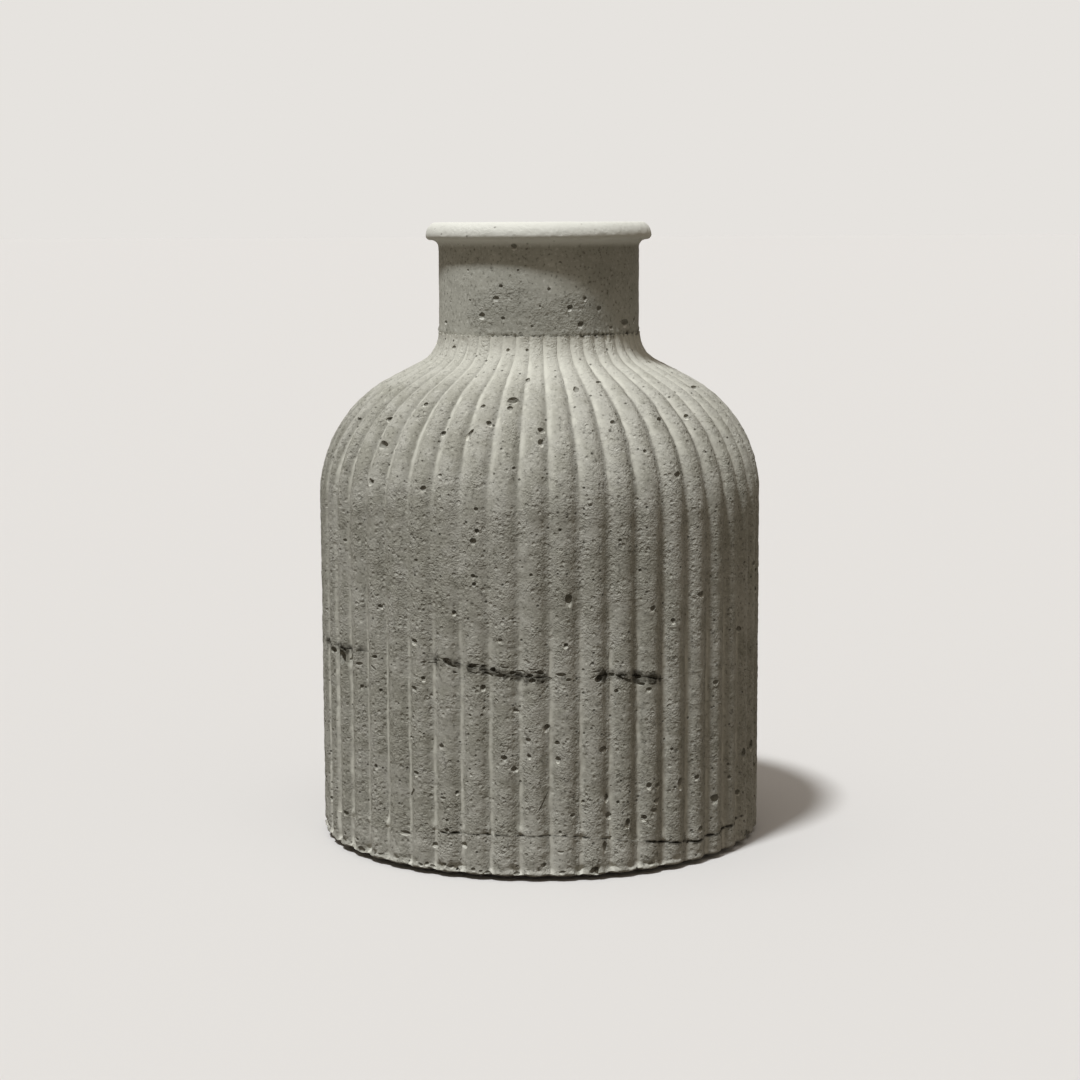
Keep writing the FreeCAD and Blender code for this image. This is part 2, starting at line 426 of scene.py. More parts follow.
@dataclass(frozen=True)
class ColdJoint:
    """A wavy line where one lift of concrete was poured on the last.

    The course lists the line's height in millimetres, and gaping how far it stands open, at
    angles in degrees. Both are read from the photograph on the front and chosen like it behind.
    Crumbs have come off it in places: the tries say how many places are looked at, and the crumbs
    give their least and greatest width. A joint with a smooth radius crosses no ribs.
    """

    height: float
    course: tuple[Pair, ...]
    gaping: tuple[Pair, ...]
    seed: float
    tries: int
    crumbs: Pair
    spots: tuple[Pit, ...] = ()
    smooth_radius: float = 0.0
    ripple: float = 0.5 * MM
    ripple_size: float = 7 * MM
    break_size: float = 3.2 * MM
    break_shift: float = 9.0
    steady: float = 0.45
    ragged: float = 1.6
    smear: float = 1.7 * MM
    noise_radius: float = 90 * MM
    steps: int = 1440

    def heights(self, turn: np.ndarray) -> np.ndarray:
        """Height of the line at each angle."""
        line = read_round(turn, self.course) * MM
        return line + self.ripple * self.around(turn, self.ripple_size, 0.0)

    def openness(self, turn: np.ndarray) -> np.ndarray:
        """How far the joint is meant to stand open at each angle, from nought to one."""
        return read_round(turn, self.gaping)

    def gape(self, turn: np.ndarray) -> np.ndarray:
        """How far the joint stands open at each angle, with its small breaks."""
        broken = self.steady + self.ragged * self.around(turn, self.break_size, self.break_shift)
        return np.clip(self.openness(turn) * broken, 0, 1)

    def stain(self, points: np.ndarray) -> np.ndarray:
        """How much of the joint's dirt each of a mesh's points takes.

        Args:
            points: the points, one a row.

        Returns:
            Shares from nought to one.
        """
        turn = azimuths(points)
        away = np.abs(points[:, 2] - self.heights(turn))
        open_share = 0.5 * self.gape(turn) + 0.5 * np.clip(self.openness(turn), 0, 1)
        return np.exp(-(away / self.smear) ** 2) * open_share

    def around(self, turn: np.ndarray, size: float, shift: float) -> np.ndarray:
        """Noise that runs round the vase and closes on itself.

        Args:
            turn: angles in degrees.
            size: the noise's grain in metres.
            shift: a number that gives each use its own noise.

        Returns:
            The noise at each angle, about nought.
        """
        angles = np.linspace(-180, 180, self.steps, endpoint=False)
        reach = self.noise_radius / size
        lift = self.seed + shift
        values = [
            noise.fractal(Vector((math.sin(a) * reach, math.cos(a) * reach, lift)), 1.0, 2.0, 2)
            for a in np.radians(angles)
        ]
        return np.interp(turn, angles, values, period=360)


BASE_JOINT = ColdJoint(
    height=14 * MM,
    course=(
        (-170, 13.0), (-140, 15.5), (-110, 16.2), (-80, 14.2), (-60, 14.4), (-42, 15.2),
        (-28, 17.4), (-10, 18.0), (5, 17.8), (16, 15.8), (26, 13.6), (34, 11.0), (42, 9.6),
        (50, 9.6), (58, 11.0), (68, 13.2), (95, 15.0), (120, 12.4), (150, 11.8),
    ),
    gaping=(
        (-178, 0.4), (-150, 1.0), (-128, 0.9), (-112, 0.1), (-75, 0.0), (-27, 0.0), (-24, 0.9),
        (-21, 0.5), (10, 0.6), (20, 0.55), (24, 0.1), (27, 0.8), (35, 1.0), (37, 0.5), (43, 1.5),
        (62, 1.4), (66, 0.2), (90, 0.1), (118, 0.9), (140, 0.3),
    ),
    seed=11.0,
    tries=120,
    crumbs=(0.7 * MM, 1.9 * MM),
    smear=0.8 * MM,
)
MIDDLE_JOINT = ColdJoint(
    height=80 * MM,
    course=(
        (-170, 82.0), (-140, 79.0), (-110, 78.0), (-80, 82.0), (-60, 82.6), (-45, 84.5),
        (-30, 84.6), (-20, 83.6), (-13, 81.5), (-4, 79.6), (8, 79.0), (18, 79.4), (25, 78.2),
        (33, 75.6), (50, 78.0), (75, 83.0), (100, 81.0), (130, 77.0), (160, 80.0),
    ),
    gaping=(
        (-176, 0.0), (-165, 0.7), (-148, 0.8), (-140, 0.0), (-118, 0.0), (-112, 0.6), (-96, 0.7),
        (-88, 0.0), (-76, 0.6), (-60, 0.7), (-52, 0.7), (-48, 0.0), (-31, 0.0), (-27, 0.7),
        (-10, 0.85), (1, 0.75), (4, 0.1), (6, 0.5), (9, 0.4), (12, 0.0), (15, 0.95), (24, 0.95),
        (33, 0.6), (35, 0.0), (70, 0.0), (84, 0.5), (90, 0.0), (104, 0.0), (112, 0.8), (136, 0.7),
        (144, 0.0),
    ),
    seed=27.0,
    tries=330,
    crumbs=(0.9 * MM, 3.2 * MM),
    spots=JOINT_SPOTS,
    smear=2.8 * MM,
)
NECK_JOINT = ColdJoint(
    height=205.6 * MM,
    course=((-120, 205.6), (0, 205.6), (120, 205.6)),
    gaping=((-175, 0.5), (-120, 0.3), (-80, 0.1), (-45, 0.1), (-32, 0.3), (20, 0.4), (50, 0.5),
            (72, 0.6), (95, 0.2), (140, 0.4)),
    seed=41.0,
    tries=130,
    crumbs=(0.7 * MM, 2.2 * MM),
    smooth_radius=40.9 * MM,
    ripple=0.55 * MM,
    ripple_size=3.5 * MM,
)


class Side(Enum):
    """Which face of a casting a station of its outline lies on."""

    OUTSIDE = "outside"
    JOINT = "joint"
    INSIDE = "inside"


@dataclass(frozen=True)
class Station:
    """One point of a casting's outline.

    The inset and drop open the crack along a cold joint, where it gapes.
    """

    radius: float
    height: float
    side: Side = Side.OUTSIDE
    inset: float = 0.0
    drop: float = 0.0


def row(start: Pair, end: Pair, length: float, side: Side = Side.OUTSIDE) -> list[Station]:
    """Stations in a straight row, without its last point.

    Args:
        start: radius and height of the first point.
        end: radius and height that the row runs to.
        length: the wanted spacing.
        side: the face that the row lies on.

    Returns:
        The stations from start up to, but not including, end.
    """
    steps = max(1, round(math.dist(start, end) / length))
    points = []
    for step in range(steps):
        share = step / steps
        radius = start[0] + (end[0] - start[0]) * share
        points.append(Station(radius, start[1] + (end[1] - start[1]) * share, side))
    return points


def sweep(centre: Pair, radius: float, first: float, last: float, length: float,
          side: Side = Side.OUTSIDE) -> list[Station]:
    """Stations along a round stretch, without its last point.

    Args:
        centre: radius and height of the round's centre.
        radius: the round's own radius.
        first: angle above level at which it starts, in radians.
        last: angle at which it ends.
        length: the wanted spacing.
        side: the face that it lies on.

    Returns:
        The stations from the first angle up to, but not including, the last.
    """
    steps = max(2, round(abs(last - first) * radius / length))
    points = []
    for step in range(steps):
        turn = first + (last - first) * step / steps
        height = centre[1] + radius * math.sin(turn)
        points.append(Station(centre[0] + radius * math.cos(turn), height, side))
    return points


def joint_lip(radius: float, height: float, inwards: int) -> list[Station]:
    """Stations that round a casting's edge back into a cold joint.

    Args:
        radius: the face's radius at the joint.
        height: the joint's height.
        inwards: one where the casting lies below the joint, minus one where above.

    Returns:
        Stations from the face into the joint, or out of it where the casting lies above.
    """
    lip = [
        Station(radius, height - inwards * 1.1 * MM),
        Station(radius, height - inwards * 0.5 * MM, inset=0.05 * MM, drop=0.06 * MM),
        Station(radius, height, inset=0.5 * MM, drop=0.3 * MM),
        Station(radius - 1.5 * MM, height, Side.JOINT, inset=0.1 * MM, drop=0.16 * MM),
    ]
    return lip[::inwards]


def face_lean(stations: list[Station]) -> list[Pair]:
    """The outward direction of the face at each station of an outline that runs upwards.

    Args:
        stations: the closed outline.

    Returns:
        For each station, the shares outwards and upwards. It is level on walls, joints and inside.
    """
    leans = []
    for number, station in enumerate(stations):
        before, after = stations[number - 1], stations[(number + 1) % len(stations)]
        out, up = after.height - before.height, before.radius - after.radius
        plain = station.side is not Side.OUTSIDE or station.inset or station.drop or up <= 0
        length = math.hypot(out, up)
        leans.append((1.0, 0.0) if plain else (out / length, up / length))
    return leans


@dataclass(frozen=True)
class Hole:
    """A cutter at its place, with how far it reaches."""

    tool: Object
    place: Vector
    reach: float


@dataclass(frozen=True)
class Spread:
    """Air holes at random heights and angles, on the side that the photograph doesn't show.

    The count holds their lips too, and all but the count are metres.
    """

    low: float
    high: float
    count: int
    least: float
    most: float


@dataclass
class PitCutter:
    """Cuts the air holes, chips and ragged joints that a casting comes out of its mould with.

    A hole's bowl is its depth as a share of its smaller side, and its lip is a dish that is set
    down and shaped by shares of the hole's own size. A hole on a face that the camera sees at a
    slant is widened by no more than the slant limits allow.
    """

    camera: PhotoCamera
    ribs: Ribs
    seed: int
    seen_azimuth: float = 62.0
    bowl: float = 0.5
    joint_bowl: float = 0.75
    tallness: float = 0.9
    reach_share: float = 0.62
    slant_limits: Pair = (0.55, 0.4)
    joint_slant_limit: float = 0.45
    joint_sink: float = 0.1 * MM
    lip_drop: float = 0.34
    lip_shape: tuple[float, float, float] = (1.15, 1.2, 0.32)
    lip_sink: float = -0.5
    least_lipped: float = 1.7 * MM
    least_fine: float = 2.3 * MM
    lumps: float = 0.28
    lump_pitch: float = 1.4
    places_apart: float = 900.0
    small_power: float = 2.4
    tall_share: Pair = (0.7, 1.2)
    most_turn: float = 0.5
    far_off: float = 0.2
    crumb_tall: Pair = (0.35, 0.75)
    crumb_scatter: float = 0.3
    crumb_lean: float = 0.45

    def __post_init__(self) -> None:
        """Models the coarse and the fine egg that every hole is copied from."""
        self.eggs = []
        for level in (1, 2):
            bpy.ops.mesh.primitive_ico_sphere_add(subdivisions=level, radius=1)
            egg = bpy.context.object
            # One marks the hole for the painted shade inside it.
            store(egg, "pit", 1.0)
            self.eggs.append(egg)

    def cutter(self, centre: Vector, normal: Vector, size: tuple[float, float, float],
               turn: float, sink: float = 0.1) -> Hole:
        """Adds one lumpy egg-shaped cutter, sunk in the surface.

        Args:
            centre: the place on the surface.
            normal: the surface's outward direction there.
            size: the hole's width, height and depth in metres.
            turn: how far it is turned in the surface, in radians.
            sink: how far its middle lies below the surface, as a share of its depth.

        Returns:
            The cutter.
        """
        width, tall, depth = size
        source = self.eggs[1 if max(width, tall) > self.least_fine else 0]
        egg = source.copy()
        egg.data = source.data.copy()
        bpy.context.collection.objects.link(egg)
        for vertex in egg.data.vertices:
            lump = noise.noise(vertex.co * self.lump_pitch + centre * self.places_apart)
            vertex.co *= 1 + self.lumps * lump
        side = sideways(normal)
        frame = Matrix((side, normal.cross(side), normal)).transposed()
        shape = Matrix.Rotation(turn, 3, "Z") @ Matrix.Diagonal((width / 2, tall / 2, depth))
        egg.data.transform((frame @ shape).to_4x4())
        egg.data.transform(Matrix.Translation(centre - normal * depth * sink))
        return Hole(egg, centre.copy(), self.reach_share * max(width, tall))

    def lip(self, centre: Vector, normal: Vector, size: tuple[float, float, float]) -> Hole:
        """Adds the shallow dish that wear leaves below a hole, where its lip catches light, marked
        for painted light.

        Args:
            centre: the hole's place.
            normal: the surface's outward direction there.
            size: the hole's width, height and depth in metres.

        Returns:
            The cutter.
        """
        width, tall, _ = size
        below = centre - normal.cross(sideways(normal)) * tall * self.lip_drop
        wider, taller, deep = self.lip_shape
        shape = (width * wider, tall * taller, min(width, tall) * deep)
        dish = self.cutter(below, normal, shape, 0, self.lip_sink)
        # Minus one marks the dish for the painted light on the pit's lower lip.
        store(dish.tool, "pit", -1.0)
        return dish

    def seen(self, tree: BVHTree, places: tuple[Pit, ...]) -> list[Hole]:
        """Cutters for the holes that the photograph shows.

        Args:
            tree: the casting's surface.
            places: the holes, at their pixels.

        Returns:
            The cutter and the lip of each hole that meets the surface.
        """
        holes = []
        for pit in places:
            eye, sight = self.camera.ray(pit.across, pit.down)
            place, normal, _, _ = tree.ray_cast(eye, sight)
            if place is None:
                continue
            side = sideways(normal)
            narrowed = max(self.slant_limits[0], math.sqrt(1 - sight.dot(side) ** 2))
            lowered = max(self.slant_limits[1], math.sqrt(1 - sight.dot(normal.cross(side)) ** 2))
            width = pit.width * MM / narrowed
            tall = (pit.tall or pit.width * self.tallness) * MM / lowered
            size = (width, tall, pit.depth * MM or min(width, tall) * self.bowl)
            holes.append(self.cutter(place, normal, size, math.radians(pit.turn)))
            if not pit.depth:
                holes.append(self.lip(place, normal, size))
        return holes

    def on_wall(self, places: tuple[Pit, ...]) -> list[Hole]:
        """Cutters for holes on the straight wall, the same for each casting that they cross.

        Args:
            places: the holes, at their pixels.

        Returns:
            One cutter for each hole.
        """
        holes = []
        for pit in places:
            eye, sight = self.camera.ray(pit.across, pit.down)
            radius = self.ribs.crest_radius
            for _ in range(3):
                flat = Vector((sight.x, sight.y))
                along = -flat.dot(eye.xy) / flat.length_squared
                miss = (eye.xy + flat * along).length
                along -= math.sqrt(max(radius ** 2 - miss ** 2, 0)) / flat.length
                place = eye + sight * along
                radius = self.ribs.face(math.degrees(math.atan2(place.x, -place.y)), place.z)
            outward = Vector((place.x, place.y, 0)).normalized()
            width = pit.width * MM / max(self.joint_slant_limit, -outward.dot(sight))
            tall = (pit.tall or pit.width * self.tallness) * MM
            size = (width, tall, min(width, tall) * self.joint_bowl)
            holes.append(self.cutter(place, outward, size, math.radians(pit.turn)))
        return holes

    def scattered(self, tree: BVHTree, spread: Spread) -> list[Hole]:
        """Cutters for holes spread at random where the photograph doesn't look.

        Args:
            tree: the casting's surface.
            spread: how many there are, where, and how wide; most are small.

        Returns:
            The cutters of the holes, and the lips of the wider ones.
        """
        dice = random.Random(self.seed)
        holes = []
        while len(holes) < spread.count:
            angle = dice.uniform(-math.pi, math.pi)
            height = dice.uniform(spread.low, spread.high)
            share = dice.random() ** self.small_power
            width = spread.least + (spread.most - spread.least) * share
            tall = width * dice.uniform(*self.tall_share)
            turn = dice.uniform(-self.most_turn, self.most_turn)
            if abs(angle) < math.radians(self.seen_azimuth):
                continue
            outward = outward_at(angle)
            start = Vector((0, 0, height)) + outward * self.far_off
            place, normal, _, _ = tree.ray_cast(start, -outward)
            if place is None:
                continue
            size = (width, tall, min(width, tall) * self.bowl)
            holes.append(self.cutter(place, normal, size, turn))
            if width > self.least_lipped:
                holes.append(self.lip(place, normal, size))
        return holes

    def along(self, joint: ColdJoint) -> list[Hole]:
        """Cutters for a cold joint's spots and crumbs, the same for both its castings.

        Args:
            joint: the joint; crumbs come off only where it gapes.

        Returns:
            The cutters.
        """
        dice = random.Random(joint.seed)
        holes = self.on_wall(joint.spots)
        least, most = joint.crumbs
        for _ in range(joint.tries):
            turn = dice.uniform(-180, 180)
            width = least + (most - least) * dice.random() ** 2
            tall = width * dice.uniform(*self.crumb_tall)
            lift = dice.gauss(0, self.crumb_scatter) * most
            lean = dice.uniform(-self.crumb_lean, self.crumb_lean)
            if dice.random() > float(joint.openness(np.array([turn]))[0]):
                continue
            height = float(joint.heights(np.array([turn]))[0]) + lift
            radius = joint.smooth_radius or self.ribs.face(turn, height)
            outward = outward_at(math.radians(turn))
            place = outward * (radius - self.joint_sink) + Vector((0, 0, height))
            size = (width, tall, tall * self.joint_bowl)
            holes.append(self.cutter(place, outward, size, lean))
        return holes

    def cut(self, piece: Object, holes: list[Hole]) -> None:
        """Takes the holes out of a piece, in rounds of holes that don't touch each other.

        Args:
            piece: the casting.
            holes: its cutters, which are used up.
        """
        rounds: list[list[Hole]] = []
        for hole in holes:
            for batch in rounds:
                if all((hole.place - other.place).length > hole.reach + other.reach
                       for other in batch):
                    batch.append(hole)
                    break
            else:
                rounds.append([hole])
        for batch in rounds:
            self._cut_round(piece, [hole.tool for hole in batch])
        for egg in self.eggs:
            bpy.data.objects.remove(egg, do_unlink=True)

    def _cut_round(self, piece: Object, tools: list[Object]) -> None:
        """Joins the cutters of one round and takes them out of a piece.

        Args:
            piece: the casting.
            tools: the cutters, none of which touches another.
        """
        take_up(tools[0])
        for tool in tools:
            tool.select_set(True)
        if len(tools) > 1:
            bpy.ops.object.join()
        joined = bpy.context.object
        take_up(piece)
        cut = piece.modifiers.new("pits", "BOOLEAN")
        cut.operation = "DIFFERENCE"
        cut.solver = "MANIFOLD"
        cut.object = joined
        bpy.ops.object.modifier_apply(modifier=cut.name)
        bpy.data.objects.remove(joined, do_unlink=True)


@dataclass(frozen=True)
class Relief:
    """Lumps of one size that stand off a casting's face, curled like worm tracks or round."""

    size: float
    height: float
    curls: float = 0.0
    mid_level: float = 0.65

    def raise_on(self, piece: Object) -> None:
        """Raises the lumps on the face of a piece, more of them inwards than outwards.

        Args:
            piece: the casting, with its group of face points.
        """
        pattern = bpy.data.textures.new("relief", "DISTORTED_NOISE" if self.curls else "CLOUDS")
        pattern.noise_scale = self.size
        if self.curls:
            pattern.distortion = self.curls
        else:
            pattern.noise_basis = "IMPROVED_PERLIN"
            pattern.noise_depth = 1
        lumps = piece.modifiers.new("relief", "DISPLACE")
        lumps.texture = pattern
        lumps.texture_coords = "LOCAL"
        lumps.strength = self.height
        lumps.mid_level = self.mid_level
        lumps.vertex_group = "face"
        take_up(piece)
        bpy.ops.object.modifier_apply(modifier=lumps.name)
        bpy.data.textures.remove(pattern)


@dataclass(frozen=True)
class Shell:
    """The body's wall and shoulder, whose sizes several castings share."""

    wall: float = 11.5 * MM
    shoulder_start: float = 139.9 * MM
    shoulder_radius: float = 53.3 * MM
    slope: float = math.radians(27)
    mouth_radius: float = 31 * MM
    lining: float = 0.8 * MM

    @property
    def shoulder_turn(self) -> float:
        """Angle above level at which the shoulder's round ends in its slope."""
        return math.pi / 2 - self.slope

    def shoulder(self, crest: float, inset: float) -> tuple[Pair, float, Pair]:
        """Works out the shoulder's round at an inset from its outer face.

        Args:
            crest: the outer wall's radius.
            inset: how far the round lies in from the outer face.

        Returns:
            The round's centre, its radius and its upper end.
        """
        centre = (crest - self.shoulder_radius, self.shoulder_start)
        radius = self.shoulder_radius - inset
        return centre, radius, (centre[0] + radius * math.cos(self.shoulder_turn),
                                centre[1] + radius * math.sin(self.shoulder_turn))

    def slope_meets(self, end: Pair, bore: float) -> float:
        """Height at which the slope from the round's upper end reaches the bore."""
        return end[1] + (end[0] - bore) * math.tan(self.slope)


SHELL = Shell()


@dataclass
class Casting:
    """One lift of concrete, lathed from its outline and shaped ring by ring.

    The name is the piece's, and the node and slot are those that it stands for. It is turned in
    so many columns, and the spacings are those of the rings on its face and on its hidden side.
    """

    ribs: Ribs
    camera: PhotoCamera
    name: str = ""
    node: str = ""
    slot: str = ""
    columns: int = 256
    spacing: float = 1 * MM
    hidden_spacing: float = 14 * MM
    low_joint: ColdJoint | None = None
    high_joint: ColdJoint | None = None
    rib_share: float = 1.0
    least_gape: float = 0.03
    joint_reach: float = 3 * MM
    lip_inset: float = 0.3 * MM
    box_clearance: float = 0.02 * MM
    sharp_angle: float = 38.0
    pits: tuple[Pit, ...] = ()
    spread: Spread | None = None
    reliefs: tuple[Relief, ...] = (
        Relief(16 * MM, 0.5 * MM),
        Relief(4.5 * MM, 0.34 * MM),
        Relief(2 * MM, 0.18 * MM, curls=0.7),
    )

    def outline(self) -> list[Station]:
        """The closed outline of the casting's wall. Each casting has its own."""
        raise NotImplementedError

    def pull(self, height: float) -> Pair:
        """How much of the low and the high joint's waviness the face follows at a height.

        Args:
            height: a station's height in metres.

        Returns:
            A share for the low joint and one for the high joint.
        """
        return 0.0, 0.0

    def swell(self, turn: np.ndarray, height: np.ndarray, valley: np.ndarray) -> np.ndarray:
        """How far the face stands out or in for its own larger forms.

        Args:
            turn: each point's angle in degrees.
            height: its height in metres.
            valley: nought on a rib's crest, one in a valley.

        Returns:
            Metres outwards for each point.
        """
        return np.zeros(len(turn))

    def spin(self, stations: list[Station]) -> Object:
        """Turns the outline once round the axis into a closed body.

        Args:
            stations: the closed outline.

        Returns:
            The body.
        """
        bpy.ops.object.select_all(action="DESELECT")
        bpy.ops.mesh.primitive_circle_add(vertices=len(stations), radius=1)
        piece = bpy.context.object
        piece.name = self.name
        piece.data.name = self.name
        for vertex, station in zip(piece.data.vertices, stations):
            vertex.co = (0, -station.radius, station.height)
        lathe = piece.modifiers.new("lathe", "SCREW")
        lathe.steps = lathe.render_steps = self.columns
        lathe.use_merge_vertices = True
        lathe.merge_threshold = SAME_PLACE
        bpy.ops.object.modifier_apply(modifier=lathe.name)
        bpy.ops.object.mode_set(mode="EDIT")
        bpy.ops.mesh.select_all(action="SELECT")
        bpy.ops.mesh.remove_doubles(threshold=SAME_PLACE)
        bpy.ops.mesh.delete_loose()
        bpy.ops.mesh.select_all(action="SELECT")
        bpy.ops.mesh.normals_make_consistent(inside=False)
        bpy.ops.object.mode_set(mode="OBJECT")
        return piece

    def shape(self, piece: Object, stations: list[Station]) -> None:
        """Gives the smooth body its ribs, its wavy joints and its lumps.

        Args:
            piece: the spun body.
            stations: its outline.
        """
        points = read_points(piece)
        index = self.nearest(points, stations)

        def each(read: Callable[[Station], object]) -> np.ndarray:
            """Reads a value of the station that each point was turned from."""
            return np.array([read(station) for station in stations])[index]

        inside = each(lambda station: station.side is Side.INSIDE)
        outside = each(lambda station: station.side is Side.OUTSIDE)
        inset = each(lambda station: station.inset)
        level = each(self.beside)
        pulls = np.where(inside[:, None], 0, each(lambda station: self.pull(station.height)))
        ribbed = np.where(inside, 0, self.rib_share)
        radius = each(lambda station: station.radius)
        height = each(lambda station: station.height)
        lean = np.array(face_lean(stations))[index]
        turn = azimuths(points)
        turn = np.where(ribbed > 0, self.ribs.gathered(turn), turn)
        sunk = radius * self.ribs.strength(turn, height) * ribbed * (1 - self.ribs.section(turn))
        radius = radius - sunk * lean[:, 0]
        height = height - sunk * lean[:, 1]
        for joint, pull, above in ((self.low_joint, pulls[:, 0], -1),
                                   (self.high_joint, pulls[:, 1], 1)):
            if joint is None:
                continue
            gape = np.where(level == above, joint.gape(turn), 0)
            edge_inset = np.where(level == above, inset, 0)
            height = height + (joint.heights(turn) - joint.height) * pull
            radius = radius - edge_inset * (self.least_gape + (1 - self.least_gape) * gape)
            height = height - above * each(lambda station: station.drop) * gape
        radius = radius + np.where(
            outside, self.swell(turn, height, self.ribs.valley_share(turn)), 0)
        radius = np.where(np.hypot(points[:, 0], points[:, 1]) < SAME_PLACE, 0, radius)
        angle = np.radians(turn)
        write_points(
            piece, np.stack([radius * np.sin(angle), -radius * np.cos(angle), height], axis=1))
        piece.vertex_groups.new(name="face").add(np.flatnonzero(outside).tolist(), 1.0, "REPLACE")
        for relief in self.reliefs:
            relief.raise_on(piece)
        piece.vertex_groups.clear()
        # The lumps leave the edge of a joint at its own height, so that both castings still meet.
        edge = outside & (level != 0) & (inset > self.lip_inset)
        points = read_points(piece)
        points[edge, 2] = height[edge]
        write_points(piece, points)

    def nearest(self, points: np.ndarray, stations: list[Station]) -> np.ndarray:
        """Finds the station that each point of the plain body was turned from.

        Args:
            points: the plain body's points, one a row.
            stations: its outline.

        Returns:
            The station's number for each point.
        """
        radius = np.hypot(points[:, 0], points[:, 1])
        index = np.zeros(len(points), dtype=int)
        least = np.full(len(points), np.inf)
        for number, station in enumerate(stations):
            away = np.abs(radius - station.radius) + np.abs(points[:, 2] - station.height)
            closer = away < least
            index[closer] = number
            least[closer] = away[closer]
        return index

    def beside(self, station: Station) -> int:
        """Tells which joint a station lies beside.

        Args:
            station: the station.

        Returns:
            Minus one for the low joint, one for the high joint, nought for none.
        """
        if station.inset or station.drop:
            for joint, level in ((self.low_joint, -1), (self.high_joint, 1)):
                if joint and abs(station.height - joint.height) < self.joint_reach:
                    return level
        return 0

    def joints(self) -> list[ColdJoint]:
        """The casting's joints, in the one order in which every casting is cut."""
        return [joint for joint in (MIDDLE_JOINT, BASE_JOINT, NECK_JOINT)
                if joint in (self.low_joint, self.high_joint)]

    def keep_in_box(self, piece: Object) -> None:
        """Draws in the few lumps that would stand out of the vase's own box.

        Args:
            piece: the casting.
        """
        points = read_points(piece)
        _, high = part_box("lower_body")
        _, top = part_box("rim_neck")
        reach = high[0] - self.box_clearance
        spread = np.hypot(points[:, 0], points[:, 1])
        points[:, :2] *= np.where(spread > reach, reach / np.maximum(spread, reach), 1)[:, None]
        points[:, 2] = np.clip(points[:, 2], 0, top[2])
        write_points(piece, points)

    def build(self) -> Object:
        """Models the casting, pits it and shades it smooth, but for its sharp edges.

        Returns:
            The finished casting.
        """
        stations = self.outline()
        piece = self.spin(stations)
        self.shape(piece, stations)
        self.keep_in_box(piece)
        store(piece, "pit", 0.0)
        tree = BVHTree.FromObject(piece, bpy.context.evaluated_depsgraph_get())
        cutter = PitCutter(self.camera, self.ribs, seed=len(self.name))
        holes = cutter.seen(tree, self.pits)
        if self.spread:
            holes += cutter.scattered(tree, self.spread)
        for joint in self.joints():
            holes += cutter.along(joint)
        cutter.cut(piece, holes)
        self.mark(piece)
        take_up(piece)
        bpy.ops.object.shade_smooth_by_angle(angle=math.radians(self.sharp_angle))
        return piece

    def mark(self, piece: Object) -> None:
        """Stores how much dirt of its joints each point takes.

        Args:
            piece: the casting, with its pits.
        """
        points = read_points(piece)
        stain = np.zeros(len(points))
        for joint in self.joints():
            stain = np.maximum(stain, joint.stain(points))
        store(piece, "stain", stain)

    def dress(self, piece: Object, finish: Material) -> None:
        """Gives the finished casting its material and ties it to the frame.

        Args:
            piece: the casting.
            finish: its material.
        """
        piece.data.materials.clear()
        piece.data.materials.append(finish)
        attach(piece, "root")
        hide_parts(self.node)
        LOG.info("%s: %d faces", piece.name, len(piece.data.polygons))


@dataclass
class UpperBody(Casting):
    """The ribbed shoulder and upper wall."""

    name: str = "upper_casting"
    node: str = "upper_body"
    slot: str = "body_concrete"
    columns: int = 672
    spacing: float = 1.32 * MM
    hidden_spacing: float = 8 * MM
    low_joint: ColdJoint = MIDDLE_JOINT
    high_joint: ColdJoint = NECK_JOINT
    pits: tuple[Pit, ...] = BODY_PITS
    spread: Spread = Spread(88 * MM, 198 * MM, 150, 0.9 * MM, 3.2 * MM)
    cove_radius: float = 13 * MM
    rib_end_radius: float = 41.3 * MM

    def outline(self) -> list[Station]:
        """Up the outside over the shoulder, and down again inside.

        Returns:
            The closed outline.
        """
        low, high = self.low_joint.height, self.high_joint.height
        crest = self.ribs.crest_radius
        turn = SHELL.shoulder_turn
        centre, radius, end = SHELL.shoulder(crest, 0)
        cove = (self.rib_end_radius + self.cove_radius, high)
        cove_start = (cove[0] - self.cove_radius * math.sin(SHELL.slope),
                      high - self.cove_radius * math.cos(SHELL.slope))
        stations = joint_lip(crest, low, -1)
        stations += row((crest, low + JOINT_EDGE), (crest, SHELL.shoulder_start), self.spacing)
        stations += sweep(centre, radius, 0, turn, self.spacing)
        stations += row(end, cove_start, self.spacing)
        stations += sweep(cove, self.cove_radius, -math.pi / 2 - SHELL.slope, -math.pi,
                          self.spacing)[:-1]
        stations += joint_lip(self.rib_end_radius, high, 1)
        _, inner, inner_end = SHELL.shoulder(crest, SHELL.wall)
        bore = SHELL.mouth_radius + SHELL.lining
        stations += [Station(bore, high, Side.INSIDE)]
        stations += row((bore, SHELL.slope_meets(inner_end, bore)), inner_end, self.hidden_spacing,
                        Side.INSIDE)
        stations += sweep(centre, inner, turn, 0, self.hidden_spacing, Side.INSIDE)
        stations += [Station(crest - SHELL.wall, SHELL.shoulder_start, Side.INSIDE)]
        stations += [Station(crest - SHELL.wall, low, Side.INSIDE)]
        return stations

    def pull(self, height: float) -> Pair:
        """The wall follows the middle joint, and less and less towards the shoulder."""
        reach = SHELL.shoulder_start - self.low_joint.height
        near = 1.0 if abs(height - self.high_joint.height) < JOINT_NEAR else 0.0
        return unit(1 - (height - self.low_joint.height) / reach), near


